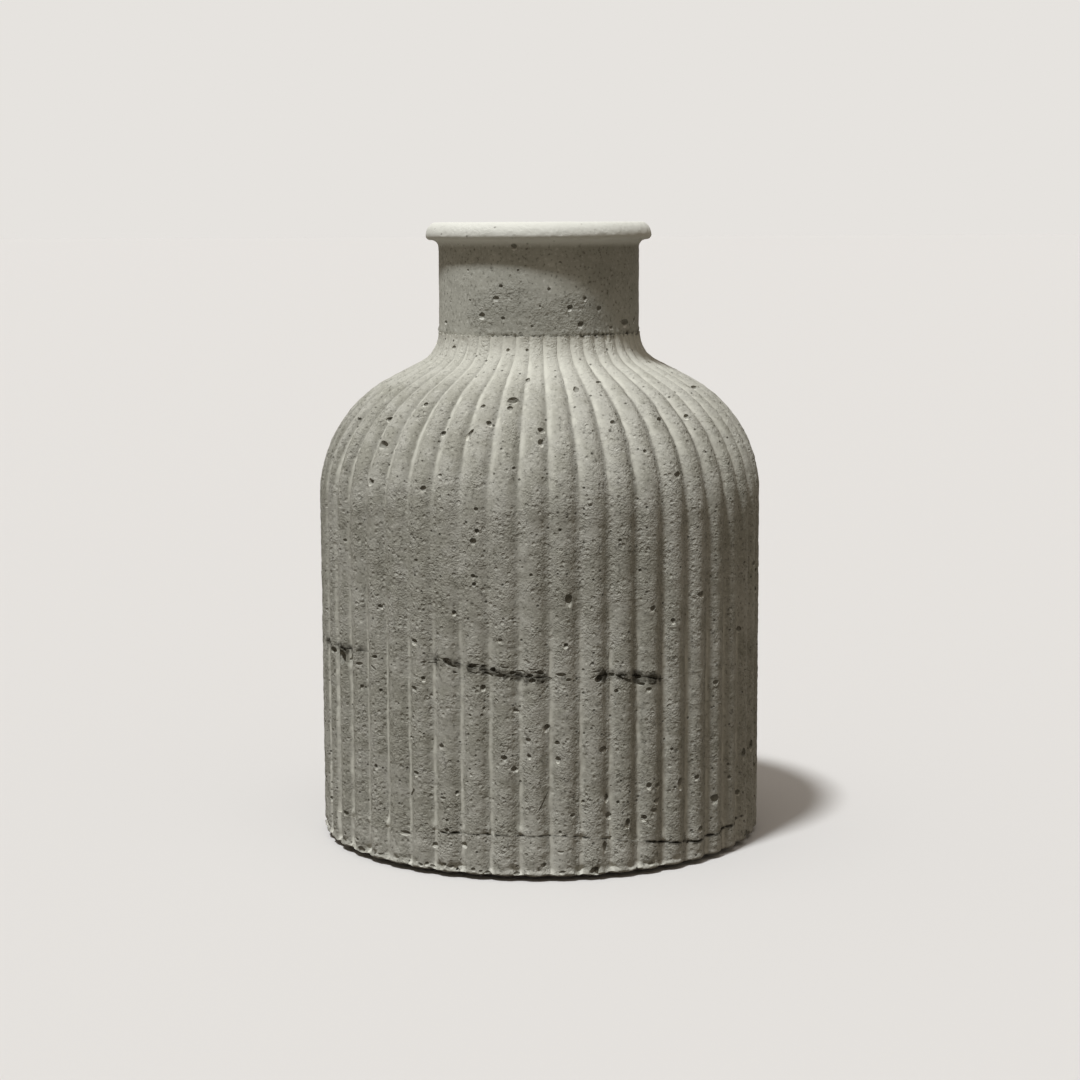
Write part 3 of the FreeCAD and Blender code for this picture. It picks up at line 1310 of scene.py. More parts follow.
@dataclass
class LowerBody(Casting):
    """The ribbed lower wall."""

    name: str = "lower_casting"
    node: str = "lower_body"
    slot: str = "body_concrete"
    columns: int = 864
    spacing: float = 1.05 * MM
    low_joint: ColdJoint = BASE_JOINT
    high_joint: ColdJoint = MIDDLE_JOINT
    pits: tuple[Pit, ...] = WALL_PITS
    spread: Spread = Spread(22 * MM, 74 * MM, 150, 0.9 * MM, 3.4 * MM)
    nub_size: float = 1.1 * MM
    nub_rise: float = 1.6
    nub_reach: float = 1.5
    nub_power: int = 4
    nub_waves: Pair = (0.9, 0.37)
    nub_shift: float = 2
    nub_level: float = -0.1

    def outline(self) -> list[Station]:
        """Up the outside and down inside.

        Returns:
            The closed outline.
        """
        low, high = self.low_joint.height, self.high_joint.height
        crest = self.ribs.crest_radius
        inner = crest - SHELL.wall
        stations = joint_lip(crest, low, -1)
        stations += row((crest, low + JOINT_EDGE), (crest, high - JOINT_EDGE), self.spacing)
        stations += joint_lip(crest, high, 1)
        stations += row((inner, high), (inner, low), self.hidden_spacing, Side.INSIDE)
        return stations + [Station(inner, low, Side.INSIDE)]

    def pull(self, height: float) -> Pair:
        """The wall follows both joints, each most near itself."""
        low, high = self.low_joint.height, self.high_joint.height
        share = unit((height - low) / (high - low))
        return 1 - share, share

    def swell(self, turn: np.ndarray, height: np.ndarray, valley: np.ndarray) -> np.ndarray:
        """Small nubs of paste that fill some valleys just above the floor's joint.

        Args:
            turn: each point's angle in degrees.
            height: its height in metres.
            valley: nought on a rib's crest, one in a valley.

        Returns:
            Metres outwards for each point.
        """
        above = (height - self.low_joint.heights(turn)) / MM
        fast, slow = self.nub_waves
        chosen = np.sin(turn * fast + self.nub_shift) * np.sin(turn * slow) > self.nub_level
        size = self.nub_size * valley ** self.nub_power
        return size * band(above, self.nub_rise, self.nub_reach) * chosen


@dataclass
class BaseSlab(Casting):
    """The ribbed floor of the vase, with its chipped lower lip.

    The foot's pairs say how far in and how far up each row lies, and the rises are the heights of
    the lip and of the hollow above it, all in millimetres. Both are faint between the inner two
    of the faint turns.
    """

    name: str = "base_casting"
    node: str = "base_slab"
    slot: str = "base_concrete"
    columns: int = 864
    spacing: float = 0.7 * MM
    high_joint: ColdJoint = BASE_JOINT
    rib_share: float = 0.85
    pits: tuple[Pit, ...] = BASE_PITS
    spread: Spread = Spread(2.5 * MM, 5.5 * MM, 60, 1.2 * MM, 5 * MM)
    underside: float = 1.5 * MM
    underside_spacing: float = 9 * MM
    hub: float = 40 * MM
    foot_start: float = 3 * MM
    foot: tuple[Pair, ...] = ((2.2, 0), (1.1, 0.2), (0.4, 0.6), (0.1, 1.1), (0, 1.6))
    floor_hub: float = 10 * MM
    lip_height: float = 2.2 * MM
    lip_size: float = 1.3 * MM
    lip_rise: float = 2.7
    hollow_depth: float = 0.8 * MM
    hollow_rise: float = 4.5
    rise_reach: float = 0.9
    ragged_size: float = 2.6 * MM
    raggedness: float = 1.2
    uneven_size: float = 3.4 * MM
    uneven: tuple[float, float, float] = (0.4, 2.2, 1.3)
    faint_share: float = 0.75
    faint_turns: tuple[Pair, Pair] = ((20, 45), (110, 80))

    def outline(self) -> list[Station]:
        """From the middle of the underside out, up the edge and back over the floor.

        Returns:
            The closed outline.
        """
        crest, under = self.ribs.crest_radius, self.underside
        high = self.high_joint.height
        stations = [Station(0, under, Side.INSIDE)]
        stations += row((self.hub, under), (crest - self.foot_start, under),
                        self.underside_spacing, Side.INSIDE)
        for inset, rise in self.foot:
            stations.append(Station(crest - inset * MM, under + rise * MM))
        stations += row((crest, under + self.lip_height), (crest, high - JOINT_EDGE), self.spacing)
        stations += joint_lip(crest, high, 1)
        stations += row((crest - SHELL.wall, high), (self.floor_hub, high), self.hidden_spacing,
                        Side.INSIDE)
        return stations + [Station(0, high, Side.INSIDE)]

    def pull(self, height: float) -> Pair:
        """The upper edge follows the joint."""
        start = self.underside + self.lip_height
        return 0.0, unit((height - start) / (self.high_joint.height - start))

    def swell(self, turn: np.ndarray, height: np.ndarray, valley: np.ndarray) -> np.ndarray:
        """A worn hollow above the lower lip, deeper on the left and in some valleys.

        Args:
            turn: each point's angle in degrees.
            height: its height in metres.
            valley: nought on a rib's crest, one in a valley.

        Returns:
            Metres outwards for each point.
        """
        ragged = self.high_joint.around(turn, self.ragged_size, 20.0)
        up = height / MM - self.raggedness * ragged
        level, more, most = self.uneven
        waves = self.high_joint.around(turn, self.uneven_size, 33.0)
        uneven = np.clip(level + more * waves, 0, most)
        fading, rising = (smooth_step(*turns, turn) for turns in self.faint_turns)
        left = 1 - self.faint_share * fading * rising
        hollow = band(up, self.hollow_rise, self.rise_reach) * uneven * left
        lip = band(up, self.lip_rise, self.rise_reach) * valley * left
        return self.lip_size * lip - self.hollow_depth * hollow


@dataclass
class RimNeck(Casting):
    """The smooth neck with its rolled rim."""

    name: str = "neck_casting"
    node: str = "rim_neck"
    slot: str = "neck_concrete"
    columns: int = 480
    spacing: float = 0.8 * MM
    low_joint: ColdJoint = NECK_JOINT
    rib_share: float = 0.0
    pits: tuple[Pit, ...] = NECK_PITS
    spread: Spread = Spread(207 * MM, 236 * MM, 60, 0.8 * MM, 2.6 * MM)
    reliefs: tuple[Relief, ...] = (
        Relief(14 * MM, 0.35 * MM),
        Relief(3.5 * MM, 0.14 * MM),
        Relief(1.8 * MM, 0.1 * MM, curls=0.8),
    )
    rough_places: tuple[tuple[Pair, Pair], ...] = (
        ((-16, 214), (34, 15)), ((16, 212), (28, 12)), ((150, 217), (34, 12)),
    )
    neck_radius: float = 40.8 * MM
    nose_radius: float = 1.9 * MM
    slope_radius: float = 6 * MM
    widest: float = 244.7 * MM
    overhang: float = 5.1 * MM
    cove_radius: float = 3 * MM
    edge_radius: float = 1.5 * MM
    top: float = 250 * MM
    top_rise: float = 0.4 * MM
    fine_spacing: float = 0.5 * MM
    bore_spacing: float = 1.6 * MM
    foot_height: float = 2 * MM
    top_inset: float = 0.8 * MM
    bead_size: float = 1.6 * MM
    bead_length: float = 2.6 * MM
    bead_gap: float = 0.05
    most_bead: float = 0.5
    bead_rise: float = 1.3
    bead_reach: float = 0.8

    def outline(self) -> list[Station]:
        """Up the neck, round the rim and down the bore.

        Returns:
            The closed outline.
        """
        low, neck, mouth = self.low_joint.height, self.neck_radius, SHELL.mouth_radius
        reach = neck + self.overhang
        nose = (reach - self.nose_radius, self.widest)
        slope = (reach - self.slope_radius, self.widest)
        slope_end = math.asin((self.top - self.top_rise - self.widest) / self.slope_radius)
        across = neck + self.cove_radius - nose[0]
        drop = math.sqrt((self.nose_radius + self.cove_radius) ** 2 - across ** 2)
        cove = (neck + self.cove_radius, nose[1] - drop)
        join = math.atan2(-drop, across)
        edge = (mouth + self.edge_radius, self.top - self.edge_radius)
        fine = self.fine_spacing
        stations = joint_lip(neck, low, -1)
        stations += row((neck, low + self.foot_height), (neck, cove[1]), self.spacing)
        stations += sweep(cove, self.cove_radius, math.pi, math.pi + join, fine)
        stations += sweep(nose, self.nose_radius, join, 0, fine)
        stations += sweep(slope, self.slope_radius, 0, slope_end, fine)
        shoulder = slope[0] + self.slope_radius * math.cos(slope_end)
        stations += [Station(shoulder, self.top - self.top_rise)]
        stations += row((shoulder - self.top_inset, self.top), (edge[0], self.top), self.spacing)
        stations += sweep(edge, self.edge_radius, math.pi / 2, math.pi, fine)
        stations += row((mouth, edge[1]), (mouth, low), self.bore_spacing)
        return stations + [Station(mouth, low, Side.INSIDE)]

    def pull(self, height: float) -> Pair:
        """Only the foot of the neck follows the joint."""
        return (1.0 if abs(height - self.low_joint.height) < JOINT_NEAR else 0.0), 0.0

    def swell(self, turn: np.ndarray, height: np.ndarray, valley: np.ndarray) -> np.ndarray:
        """Small beads of paste that stand out in a broken row just above the neck's foot.

        Args:
            turn: each point's angle in degrees.
            height: its height in metres.
            valley: not used, as the neck has no ribs.

        Returns:
            Metres outwards for each point.
        """
        waves = self.low_joint.around(turn, self.bead_length, 17.0)
        beads = np.clip(waves - self.bead_gap, 0, self.most_bead)
        above = (height - self.low_joint.height) / MM
        return self.bead_size * beads * band(above, self.bead_rise, self.bead_reach)

    def mark(self, piece: Object) -> None:
        """Adds the dark rough patch in the middle of the neck to the stains.

        Args:
            piece: the neck, with its pits.
        """
        super().mark(piece)
        points = read_points(piece)
        patch = np.zeros(len(points))
        for centre, reach in self.rough_places:
            patch = np.maximum(patch, spot(azimuths(points), points[:, 2], centre, reach))
        store(piece, "rough_patch", patch)


@dataclass
class Lining(Casting):
    """The sealing coat brushed on inside, with shallow brush marks."""

    name: str = "sealing_coat"
    node: str = "waterproof_lining"
    slot: str = "sealer"
    columns: int = 192
    spacing: float = 2 * MM
    hidden_spacing: float = 12 * MM
    rib_share: float = 0.0
    reliefs: tuple[Relief, ...] = (Relief(12 * MM, 0.3 * MM), Relief(5 * MM, 0.12 * MM))
    hub: float = 4 * MM

    def face(self, inset: float, spacing: float, side: Side) -> list[Station]:
        """One face of the coat, from the middle of the floor up to the neck.

        Args:
            inset: how far the face lies in from the concrete.
            spacing: the wanted spacing.
            side: whether the face is hidden or shows.

        Returns:
            The face's stations.
        """
        crest = self.ribs.crest_radius
        wall = crest - SHELL.wall - inset
        floor, top = BASE_JOINT.height + inset, NECK_JOINT.height
        centre, inner, end = SHELL.shoulder(crest, SHELL.wall + inset)
        bore = SHELL.mouth_radius + SHELL.lining - inset
        foot = (bore, SHELL.slope_meets(end, bore))
        stations = [Station(0, floor, side)]
        stations += row((self.hub, floor), (wall, floor), spacing, side)
        stations += row((wall, floor), (wall, SHELL.shoulder_start), spacing, side)
        stations += sweep(centre, inner, 0, SHELL.shoulder_turn, spacing, side)
        stations += row(end, foot, spacing, side)
        stations += row(foot, (bore, top), spacing, side)
        return stations + [Station(bore, top, side)]

    def outline(self) -> list[Station]:
        """Up the hidden face and down the one that shows."""
        shown = self.face(SHELL.lining, self.spacing, Side.OUTSIDE)
        return self.face(0, self.hidden_spacing, Side.INSIDE) + shown[::-1]


@dataclass
class FeltPad(Casting):
    """The round felt pad under the floor, with a slightly uneven cut edge."""

    name: str = "felt_disc"
    node: str = "felt_pad"
    slot: str = "felt"
    spacing: float = 5 * MM
    hidden_spacing: float = 9 * MM
    rib_share: float = 0.0
    reliefs: tuple[Relief, ...] = (Relief(2 * MM, 0.15 * MM),)
    radius: float = 78 * MM
    thickness: float = 1.5 * MM
    edge: float = 0.35 * MM
    rim_inset: float = 0.1 * MM
    hub: float = 8 * MM

    def outline(self) -> list[Station]:
        """From the middle of the underside out and back over the top.

        Returns:
            The closed outline.
        """
        rim, top = self.radius - self.rim_inset, self.thickness
        inner = self.radius - self.edge
        stations = [Station(0, 0, Side.INSIDE)]
        stations += row((self.hub, 0), (inner, 0), self.spacing, Side.INSIDE)
        for radius, height in ((inner, 0), (rim, self.edge), (rim, top - self.edge), (inner, top)):
            stations.append(Station(radius, height))
        start = (self.radius - self.spacing, top)
        stations += row(start, (self.hub, top), self.hidden_spacing, Side.INSIDE)
        return stations + [Station(0, top, Side.INSIDE)]


# Settings that many nodes share: a soft ramp, and a mix of colours.
EASED = {"interpolation_type": "SMOOTHSTEP"}
COLOURS = {"data_type": "RGBA"}


def add(tree: NodeTree, kind: str, inputs: dict | None = None, **settings) -> Node:
    """Adds a shader node with its settings and links.

    Args:
        tree: the tree that the node goes into.
        kind: the node's type.
        inputs: for each socket, by name or number, a value, the socket it is linked to, or a
            node, whose first output it is linked to.
        settings: the node's own properties.

    Returns:
        The node.
    """
    node = tree.nodes.new("ShaderNode" + kind)
    for name, value in settings.items():
        setattr(node, name, value)
    for name, value in (inputs or {}).items():
        socket = node.inputs[name]
        if isinstance(value, Node):
            value = value.outputs[0]
        if isinstance(value, NodeSocket):
            tree.links.new(value, socket)
        else:
            socket.default_value = value
    return node


def scale_of(size_mm: float) -> float:
    """The scale that gives a pattern its real size in millimetres."""
    return 1 / (size_mm * MM)


def lay_over(tree: NodeTree, colour: NodeSocket | tuple, coats: tuple[tuple, ...]) -> NodeSocket:
    """Lays colours over one another, each where its mask says.

    Args:
        tree: the finish's tree.
        colour: the lowest colour.
        coats: for each colour its mask, the mask's values where it starts and is full and how
            full that is, or None for the mask as it stands, and its hex value.

    Returns:
        The colour that shows.
    """
    for mask, ramp, tint in coats:
        if ramp:
            start, full, most = ramp
            mask = add(tree, "MapRange", {"Value": mask, "From Min": start, "From Max": full,
                       "To Max": most}, **EASED)
        colour = add(tree, "Mix", {"Factor": mask, 6: colour, 7: linear(tint)},
                     **COLOURS).outputs[2]
    return colour


def bare_tree(owner: Material | World) -> NodeTree:
    """Gives a material or a world a node tree with nothing in it.

    Args:
        owner: the material or the world.

    Returns:
        The tree.
    """
    owner.use_nodes = True
    owner.node_tree.nodes.clear()
    return owner.node_tree


@dataclass(frozen=True)
class Finish:
    """What a surface is made of."""

    name: str

    def surface(self, tree: NodeTree) -> Node:
        """The shader, with the patterns that feed it."""
        raise NotImplementedError

    def make(self) -> Material:
        """Builds the material.

        Returns:
            The material.
        """
        material = bpy.data.materials.new(self.name)
        tree = bare_tree(material)
        add(tree, "OutputMaterial", {"Surface": self.surface(tree)})
        return material


@dataclass(frozen=True)
class CastConcrete(Finish):
    """Bare sand-cement concrete as it left the mould, dull, mottled and pocked.

    Dirt settles in the cold joints, the pits and pinholes get painted shade, and the pits' lips
    get painted light. Heights are metres above the table.
    """

    paste: str
    shade: str
    pale: str
    dark: str
    roughness: float = 0.9
    mottle_mm: float = 28.0
    patch_mm: float = 7.0
    sand_mm: float = 1.2
    smear_mm: float = 3.2
    track_mm: float = 6.0
    sandy_mm: float = 11.0
    worm_mm: float = 3.0
    worm_depth: float = 0.14
    grit_mm: float = 0.75
    grit_depth: float = 0.47
    pock_mm: float = 2.3
    pock_depth: float = 0.36
    pore_mm: float = 3.4
    pore_depth: float = 0.35
    pore_shade: float = 0.75

    def surface(self, tree: NodeTree) -> Node:
        """The concrete's shader: mottled paste, sand, the casting's own marks, pores and dirt.

        Args:
            tree: the finish's tree.

        Returns:
            The shader.
        """
        place = add(tree, "TexCoord").outputs["Object"]
        broad = add(tree, "TexNoise", {"Vector": place, "Scale": scale_of(self.mottle_mm),
                    "Detail": 3.0})
        patches = add(tree, "TexNoise", {"Vector": place, "Scale": scale_of(self.patch_mm),
                      "Detail": 4.0, "Distortion": 0.6})
        tone = add(tree, "Math", {0: broad, 1: patches}, operation="ADD")
        colour = lay_over(tree, linear(self.shade), ((tone, (0.76, 1.24, 1.0), self.paste),))
        colour = self._speckle(tree, place, colour)
        colour, smooth = self._marks(tree, place, patches, colour)
        pores = self._pores(tree, place)
        # Painted shade in the pinholes, which are too small to cut.
        pore_shade_mask = add(tree, "Math", {0: pores, 1: self.pore_shade}, operation="MULTIPLY")
        colour = lay_over(tree, colour, ((pore_shade_mask, None, self.dark),))
        colour = self._stains(tree, place, colour)
        grain = self._grain(tree, place, smooth, pores)
        bump = add(tree, "Bump", {"Height": grain, "Strength": 1.0, "Distance": MM})
        return add(tree, "BsdfPrincipled", {"Base Color": colour, "Roughness": self.roughness,
                   "Normal": bump, "IOR": 1.5, "Specular IOR Level": 0.15})

    def _marks(self, tree: NodeTree, place: NodeSocket, patches: Node,
               colour: NodeSocket) -> tuple[NodeSocket, Node]:
        """Lays the casting's own colours over the paste.

        Args:
            tree: the finish's tree.
            place: Object coordinates.
            patches: noise about a thumbnail's size.
            colour: the paste's colour.

        Returns:
            The colour, and how smooth the face is at each place.
        """
        raise NotImplementedError

    def _speckle(self, tree: NodeTree, place: NodeSocket, colour: NodeSocket) -> NodeSocket:
        """Fine pale and dark grains of sand, drawn coarser than real sand so that they show.

        Args:
            tree: the finish's tree.
            place: where on the object.
            colour: the colour so far.

        Returns:
            The colour with the grains in it.
        """
        sand = add(tree, "TexNoise", {"Vector": place, "Scale": scale_of(self.sand_mm),
                    "Detail": 3.0})
        return lay_over(tree, colour, ((sand, (0.55, 0.75, 0.5), self.pale),
                                       (sand, (0.45, 0.27, 0.6), self.dark)))

    def _stains(self, tree: NodeTree, place: NodeSocket, colour: NodeSocket) -> NodeSocket:
        """Dirt along the open joints, in smears, painted shade in the pits and painted light on
        their lips.

        Args:
            tree: the finish's tree.
            place: Object coordinates.
            colour: the colour below.

        Returns:
            The stained colour.
        """
        smear = add(tree, "TexNoise", {"Vector": place, "Scale": scale_of(self.smear_mm),
                    "Detail": 3.0, "Distortion": 1.0})
        stain = add(tree, "Attribute", attribute_name="stain").outputs["Fac"]
        stain = add(tree, "Math", {0: stain, 1: smear}, operation="MULTIPLY")
        pit = add(tree, "Attribute", attribute_name="pit").outputs["Fac"]
        # Painted shade inside the pits, and painted light on the dishes below them, where their
        # lips catch the light.
        return lay_over(tree, colour, ((stain, (0.09, 0.34, 0.9), self.dark),
                                       (pit, (0.3, 1.0, 0.35), self.dark),
                                       (pit, (-0.2, -1.0, 0.75), self.pale)))

    def _grain(self, tree: NodeTree, place: NodeSocket, smooth: Node, pores: Node) -> Node:
        """Puts together the grain that is too fine to model.

        Args:
            tree: the finish's tree.
            place: Object coordinates.
            smooth: how smooth the face is at each place.
            pores: where the pinholes are.

        Returns:
            Height of the worm tracks, the grit, the pocks and the pores in millimetres.
        """
        worms = add(tree, "TexNoise", {"Vector": place, "Scale": scale_of(self.worm_mm),
                    "Detail": 2.0, "Distortion": 1.1})
        worms = add(tree, "Math", {0: worms, 1: 0.5}, operation="SUBTRACT")
        worms = add(tree, "Math", {0: worms}, operation="ABSOLUTE")
        worms = add(tree, "MapRange", {"Value": worms, "From Max": 0.1, "To Max": self.worm_depth},
                    **EASED)
        tracks = add(tree, "TexNoise", {"Vector": place, "Scale": scale_of(self.track_mm),
                    "Detail": 2.0})
        tracks = add(tree, "MapRange", {"Value": tracks, "From Min": 0.42, "From Max": 0.6},
                     **EASED)
        worms = add(tree, "Math", {0: worms, 1: tracks}, operation="MULTIPLY")
        grit = add(tree, "TexNoise", {"Vector": place, "Scale": scale_of(self.grit_mm),
                    "Detail": 3.0})
        height = add(tree, "Math", {0: grit, 1: self.grit_depth, 2: worms},
                     operation="MULTIPLY_ADD")
        sandy = add(tree, "TexNoise", {"Vector": place, "Scale": scale_of(self.sandy_mm),
                    "Detail": 3.0})
        sandy = add(tree, "MapRange", {"Value": sandy, "From Min": 0.36, "From Max": 0.62,
                    "To Min": 0.35}, **EASED)
        rough = add(tree, "Math", {0: 1.0, 1: smooth}, operation="SUBTRACT")
        rough = add(tree, "Math", {0: rough, 1: sandy}, operation="MULTIPLY")
        height = add(tree, "Math", {0: height, 1: rough}, operation="MULTIPLY")
        pocks = self._pocks(tree, place, rough)
        for hollow, depth in ((pocks, self.pock_depth), (pores, self.pore_depth)):
            height = add(tree, "Math", {0: hollow, 1: -depth, 2: height}, operation="MULTIPLY_ADD")
        return height

    def _hollows(self, tree: NodeTree, place: NodeSocket, cell_mm: float, edge: Pair,
                 chance: Pair) -> Node:
        """Round hollows in some of the cells of a loose grid.

        Args:
            tree: the finish's tree.
            place: Object coordinates.
            cell_mm: the grid's cell in millimetres.
            edge: shares of a cell from the middle where a hollow starts and where it is deep.
            chance: a cell's random number from which it has a hollow, shallow and then deep.

        Returns:
            One at the bottom of a hollow, nought between them.
        """
        cells = add(tree, "TexVoronoi", {"Vector": place, "Scale": scale_of(cell_mm)})
        near = add(tree, "MapRange", {"Value": cells.outputs["Distance"], "From Min": edge[0],
                   "From Max": edge[1]}, **EASED)
        number = add(tree, "SeparateColor", {0: cells.outputs["Color"]})
        chosen = add(tree, "MapRange", {"Value": number, "From Min": chance[0],
                     "From Max": chance[1]})
        return add(tree, "Math", {0: near, 1: chosen}, operation="MULTIPLY")

    def _pocks(self, tree: NodeTree, place: NodeSocket, rough: Node) -> Node:
        """Shallow round hollows that catch light on their lower lips, where the face is rough."""
        hollow = self._hollows(tree, place, self.pock_mm, (0.42, 0.16), (0.3, 0.5))
        return add(tree, "Math", {0: hollow, 1: rough}, operation="MULTIPLY")

    def _pores(self, tree: NodeTree, place: NodeSocket) -> Node:
        """Pinholes too small to cut, in about a third of the cells."""
        return self._hollows(tree, place, self.pore_mm, (0.19, 0.07), (0.62, 0.7))


@dataclass(frozen=True)
class NeckConcrete(CastConcrete):
    """The smoother, paler concrete of the neck, with one rough dark patch.

    Its right side carries painted shade, and its rim is painted white, partly as paler paste and
    partly as painted light.
    """

    # Painted shade on the right side, fading in over these distances to the right of the axis.
    right_side_shade_from: Pair = (4 * MM, 30 * MM)
    # The rim is painted near white from these heights up: partly its paler paste, partly painted
    # light.
    rim_paste_and_light_from: Pair = (239.5 * MM, 242.5 * MM)

    def _marks(self, tree: NodeTree, place: NodeSocket, patches: Node,
               colour: NodeSocket) -> tuple[NodeSocket, Node]:
        """Paints shade on the right and light on the rim, darkens the rough patch, smooths the
        rest.

        Args:
            tree: the finish's tree.
            place: Object coordinates.
            patches: noise about a thumbnail's size.
            colour: the paste's colour.

        Returns:
            The colour, and how smooth the face is at each place.
        """
        axes = add(tree, "SeparateXYZ", {0: place}).outputs
        # Painted shade on the right side, and the rim painted white as paler paste and painted
        # light.
        colour = lay_over(tree, colour, ((axes[0], (*self.right_side_shade_from, 0.24), self.dark),
                                         (axes[2], (*self.rim_paste_and_light_from, 0.95), self.pale)))
        rough = add(tree, "Attribute", attribute_name="rough_patch").outputs["Fac"]
        rough = add(tree, "Math", {0: patches, 1: 0.6, 2: rough}, operation="MULTIPLY_ADD")
        rough = add(tree, "MapRange", {"Value": rough, "From Min": 0.7, "From Max": 0.95}, **EASED)
        shaded = add(tree, "Math", {0: rough, 1: 0.22}, operation="MULTIPLY")
        colour = lay_over(tree, colour, ((shaded, None, self.dark),))
        return colour, add(tree, "Math", {0: rough, 1: -0.7, 2: 0.75}, operation="MULTIPLY_ADD")


@dataclass(frozen=True)
class RibbedConcrete(CastConcrete):
    """The body's concrete, whose paste follows the ribs.

    A pale line runs along one flank of each valley between the ribs: partly smooth paste that
    gathers there and dries pale, partly painted light on the flank that the key light falls on. The
    valleys' bottoms carry painted shade. A place across a rib is a share from nought to one, with
    the valley's bottom in the middle.
    """

    ribs: Ribs = Ribs()
    line_shift: float = 0.02
    line_width: float = 0.2
    band_width: float = 0.22
    sway: float = 0.16
    sway_mm: float = 9.0
    # Near the left edge, from these distances left of the axis, the painted light moves to the lit
    # flank and grows.
    left_edge_light_from: Pair = (-66 * MM, -84 * MM)
    left_edge_light_most: float = 0.22
    low_fade: Pair = (80 * MM, 115 * MM)
    shoulder_rise: Pair = (138 * MM, 165 * MM)
    valley_shade_fade: Pair = (202 * MM, 180 * MM)
    dry_rise: Pair = (180 * MM, 200 * MM)

    def _across(self, tree: NodeTree, place: NodeSocket, left_edge_light: Node) -> Node:
        """Works out how far across a rib each place lies, swaying a little.

        Args:
            tree: the finish's tree.
            place: Object coordinates.
            left_edge_light: a shift near the left edge, which moves the painted light to the flank
                facing the key light.

        Returns:
            The share across.
        """
        axes = add(tree, "SeparateXYZ", {0: place}).outputs
        back = add(tree, "Math", {0: axes[1], 1: -1.0}, operation="MULTIPLY")
        turn = add(tree, "Math", {0: axes[0], 1: back}, operation="ARCTAN2")
        count, first = self.ribs.count, self.ribs.first_azimuth
        share = add(tree, "Math", {0: turn, 1: count / math.tau, 2: -first * count / 360},
                    operation="MULTIPLY_ADD")
        swaying = add(tree, "TexNoise", {"Vector": place, "Scale": scale_of(self.sway_mm),
                    "Detail": 2.0})
        share = add(tree, "Math", {0: swaying, 1: self.sway, 2: share}, operation="MULTIPLY_ADD")
        for shift in (-self.sway / 2 - self.line_shift, left_edge_light):
            share = add(tree, "Math", {0: share, 1: shift}, operation="ADD")
        return add(tree, "Math", {0: share}, operation="FRACT")

    def _marks(self, tree: NodeTree, place: NodeSocket, patches: Node,
               colour: NodeSocket) -> tuple[NodeSocket, Node]:
        """Draws paste and painted light on one flank of each valley, and painted shade in its
        bottom.

        The line is broken up and fainter halfway up.

        Args:
            tree: the finish's tree.
            place: Object coordinates.
            patches: noise about a thumbnail's size.
            colour: the paste's colour.

        Returns:
            The colour, and how smooth the face is at each place.
        """
        axes = add(tree, "SeparateXYZ", {0: place}).outputs
        # Painted light near the left edge: the line moves to the rib flank that faces the key light
        # there and is stronger.
        left_edge_light = add(tree, "MapRange", {"Value": axes[0], "From Min": self.left_edge_light_from[0],
                    "From Max": self.left_edge_light_from[1], "To Max": self.left_edge_light_most}, **EASED)
        share = self._across(tree, place, left_edge_light)
        high = add(tree, "MapRange", {"Value": axes[2], "From Min": self.shoulder_rise[0],
                   "From Max": self.shoulder_rise[1]}, **EASED)
        # Paste with painted light on the lit flank of each valley, and painted shade in the
        # valleys' bottoms.
        line = self._paste_and_light_line(tree, share, axes[2], high, patches, left_edge_light)
        valley_shade = self._valley_shade(tree, share, axes[2], high)
        colour = lay_over(tree, colour, ((axes[2], (*self.dry_rise, 0.6), self.pale),
                                         (line, None, self.pale), (valley_shade, None, self.dark)))
        smooth = add(tree, "MapRange", {"Value": line, "From Max": 0.5, "To Max": 0.8}, **EASED)
        return colour, smooth

    def _paste_and_light_line(self, tree: NodeTree, share: Node, height: NodeSocket, high: Node,
                    patches: Node, left_edge_light: Node) -> Node:
        """Marks the smooth paste along one flank of each valley, together with painted light on
        that flank.

        Args:
            tree: the finish's tree.
            share: how far across a rib each place lies.
            height: height in metres.
            high: nought on the wall, one on the shoulder, where the line is a broad band of painted
                highlight.
            patches: noise that breaks the line up.
            left_edge_light: more than nought near the left edge, where the painted light is
                stronger.

        Returns:
            The line's mask.
        """
        low = add(tree, "MapRange", {"Value": height, "From Min": self.low_fade[0],
                  "From Max": self.low_fade[1], "To Min": 0.95, "To Max": 0.15}, **EASED)
        rise = add(tree, "MapRange", {"Value": share, "From Min": 0.42, "From Max": 0.52}, **EASED)
        width = add(tree, "Math", {0: high, 1: self.band_width, 2: 0.5 + self.line_width},
                    operation="MULTIPLY_ADD")
        width = add(tree, "Math", {0: patches, 1: 0.3, 2: width}, operation="MULTIPLY_ADD")
        width = add(tree, "Math", {0: width, 1: 0.15}, operation="SUBTRACT")
        line = add(tree, "MapRange", {"Value": share, "From Min": width, "From Max": 0.5}, **EASED)
        broken = add(tree, "MapRange", {"Value": patches, "From Min": 0.38, "From Max": 0.6,
                     "To Min": 1.0, "To Max": 0.35}, **EASED)
        level = add(tree, "Math", {0: high, 1: 0.75, 2: low}, operation="MULTIPLY_ADD")
        level = add(tree, "Math", {0: left_edge_light, 1: 1.6, 2: level}, operation="MULTIPLY_ADD")
        for part in (rise, broken, level):
            line = add(tree, "Math", {0: line, 1: part}, operation="MULTIPLY")
        return line

    def _valley_shade(self, tree: NodeTree, share: Node, height: NodeSocket, high: Node) -> Node:
        """Marks painted shade in the bottoms of the valleys, more on the shoulder but not near the
        neck.

        Args:
            tree: the finish's tree.
            share: how far across a rib each place lies.
            height: height in metres.
            high: nought on the wall, one on the shoulder.

        Returns:
            The painted shade's mask.
        """
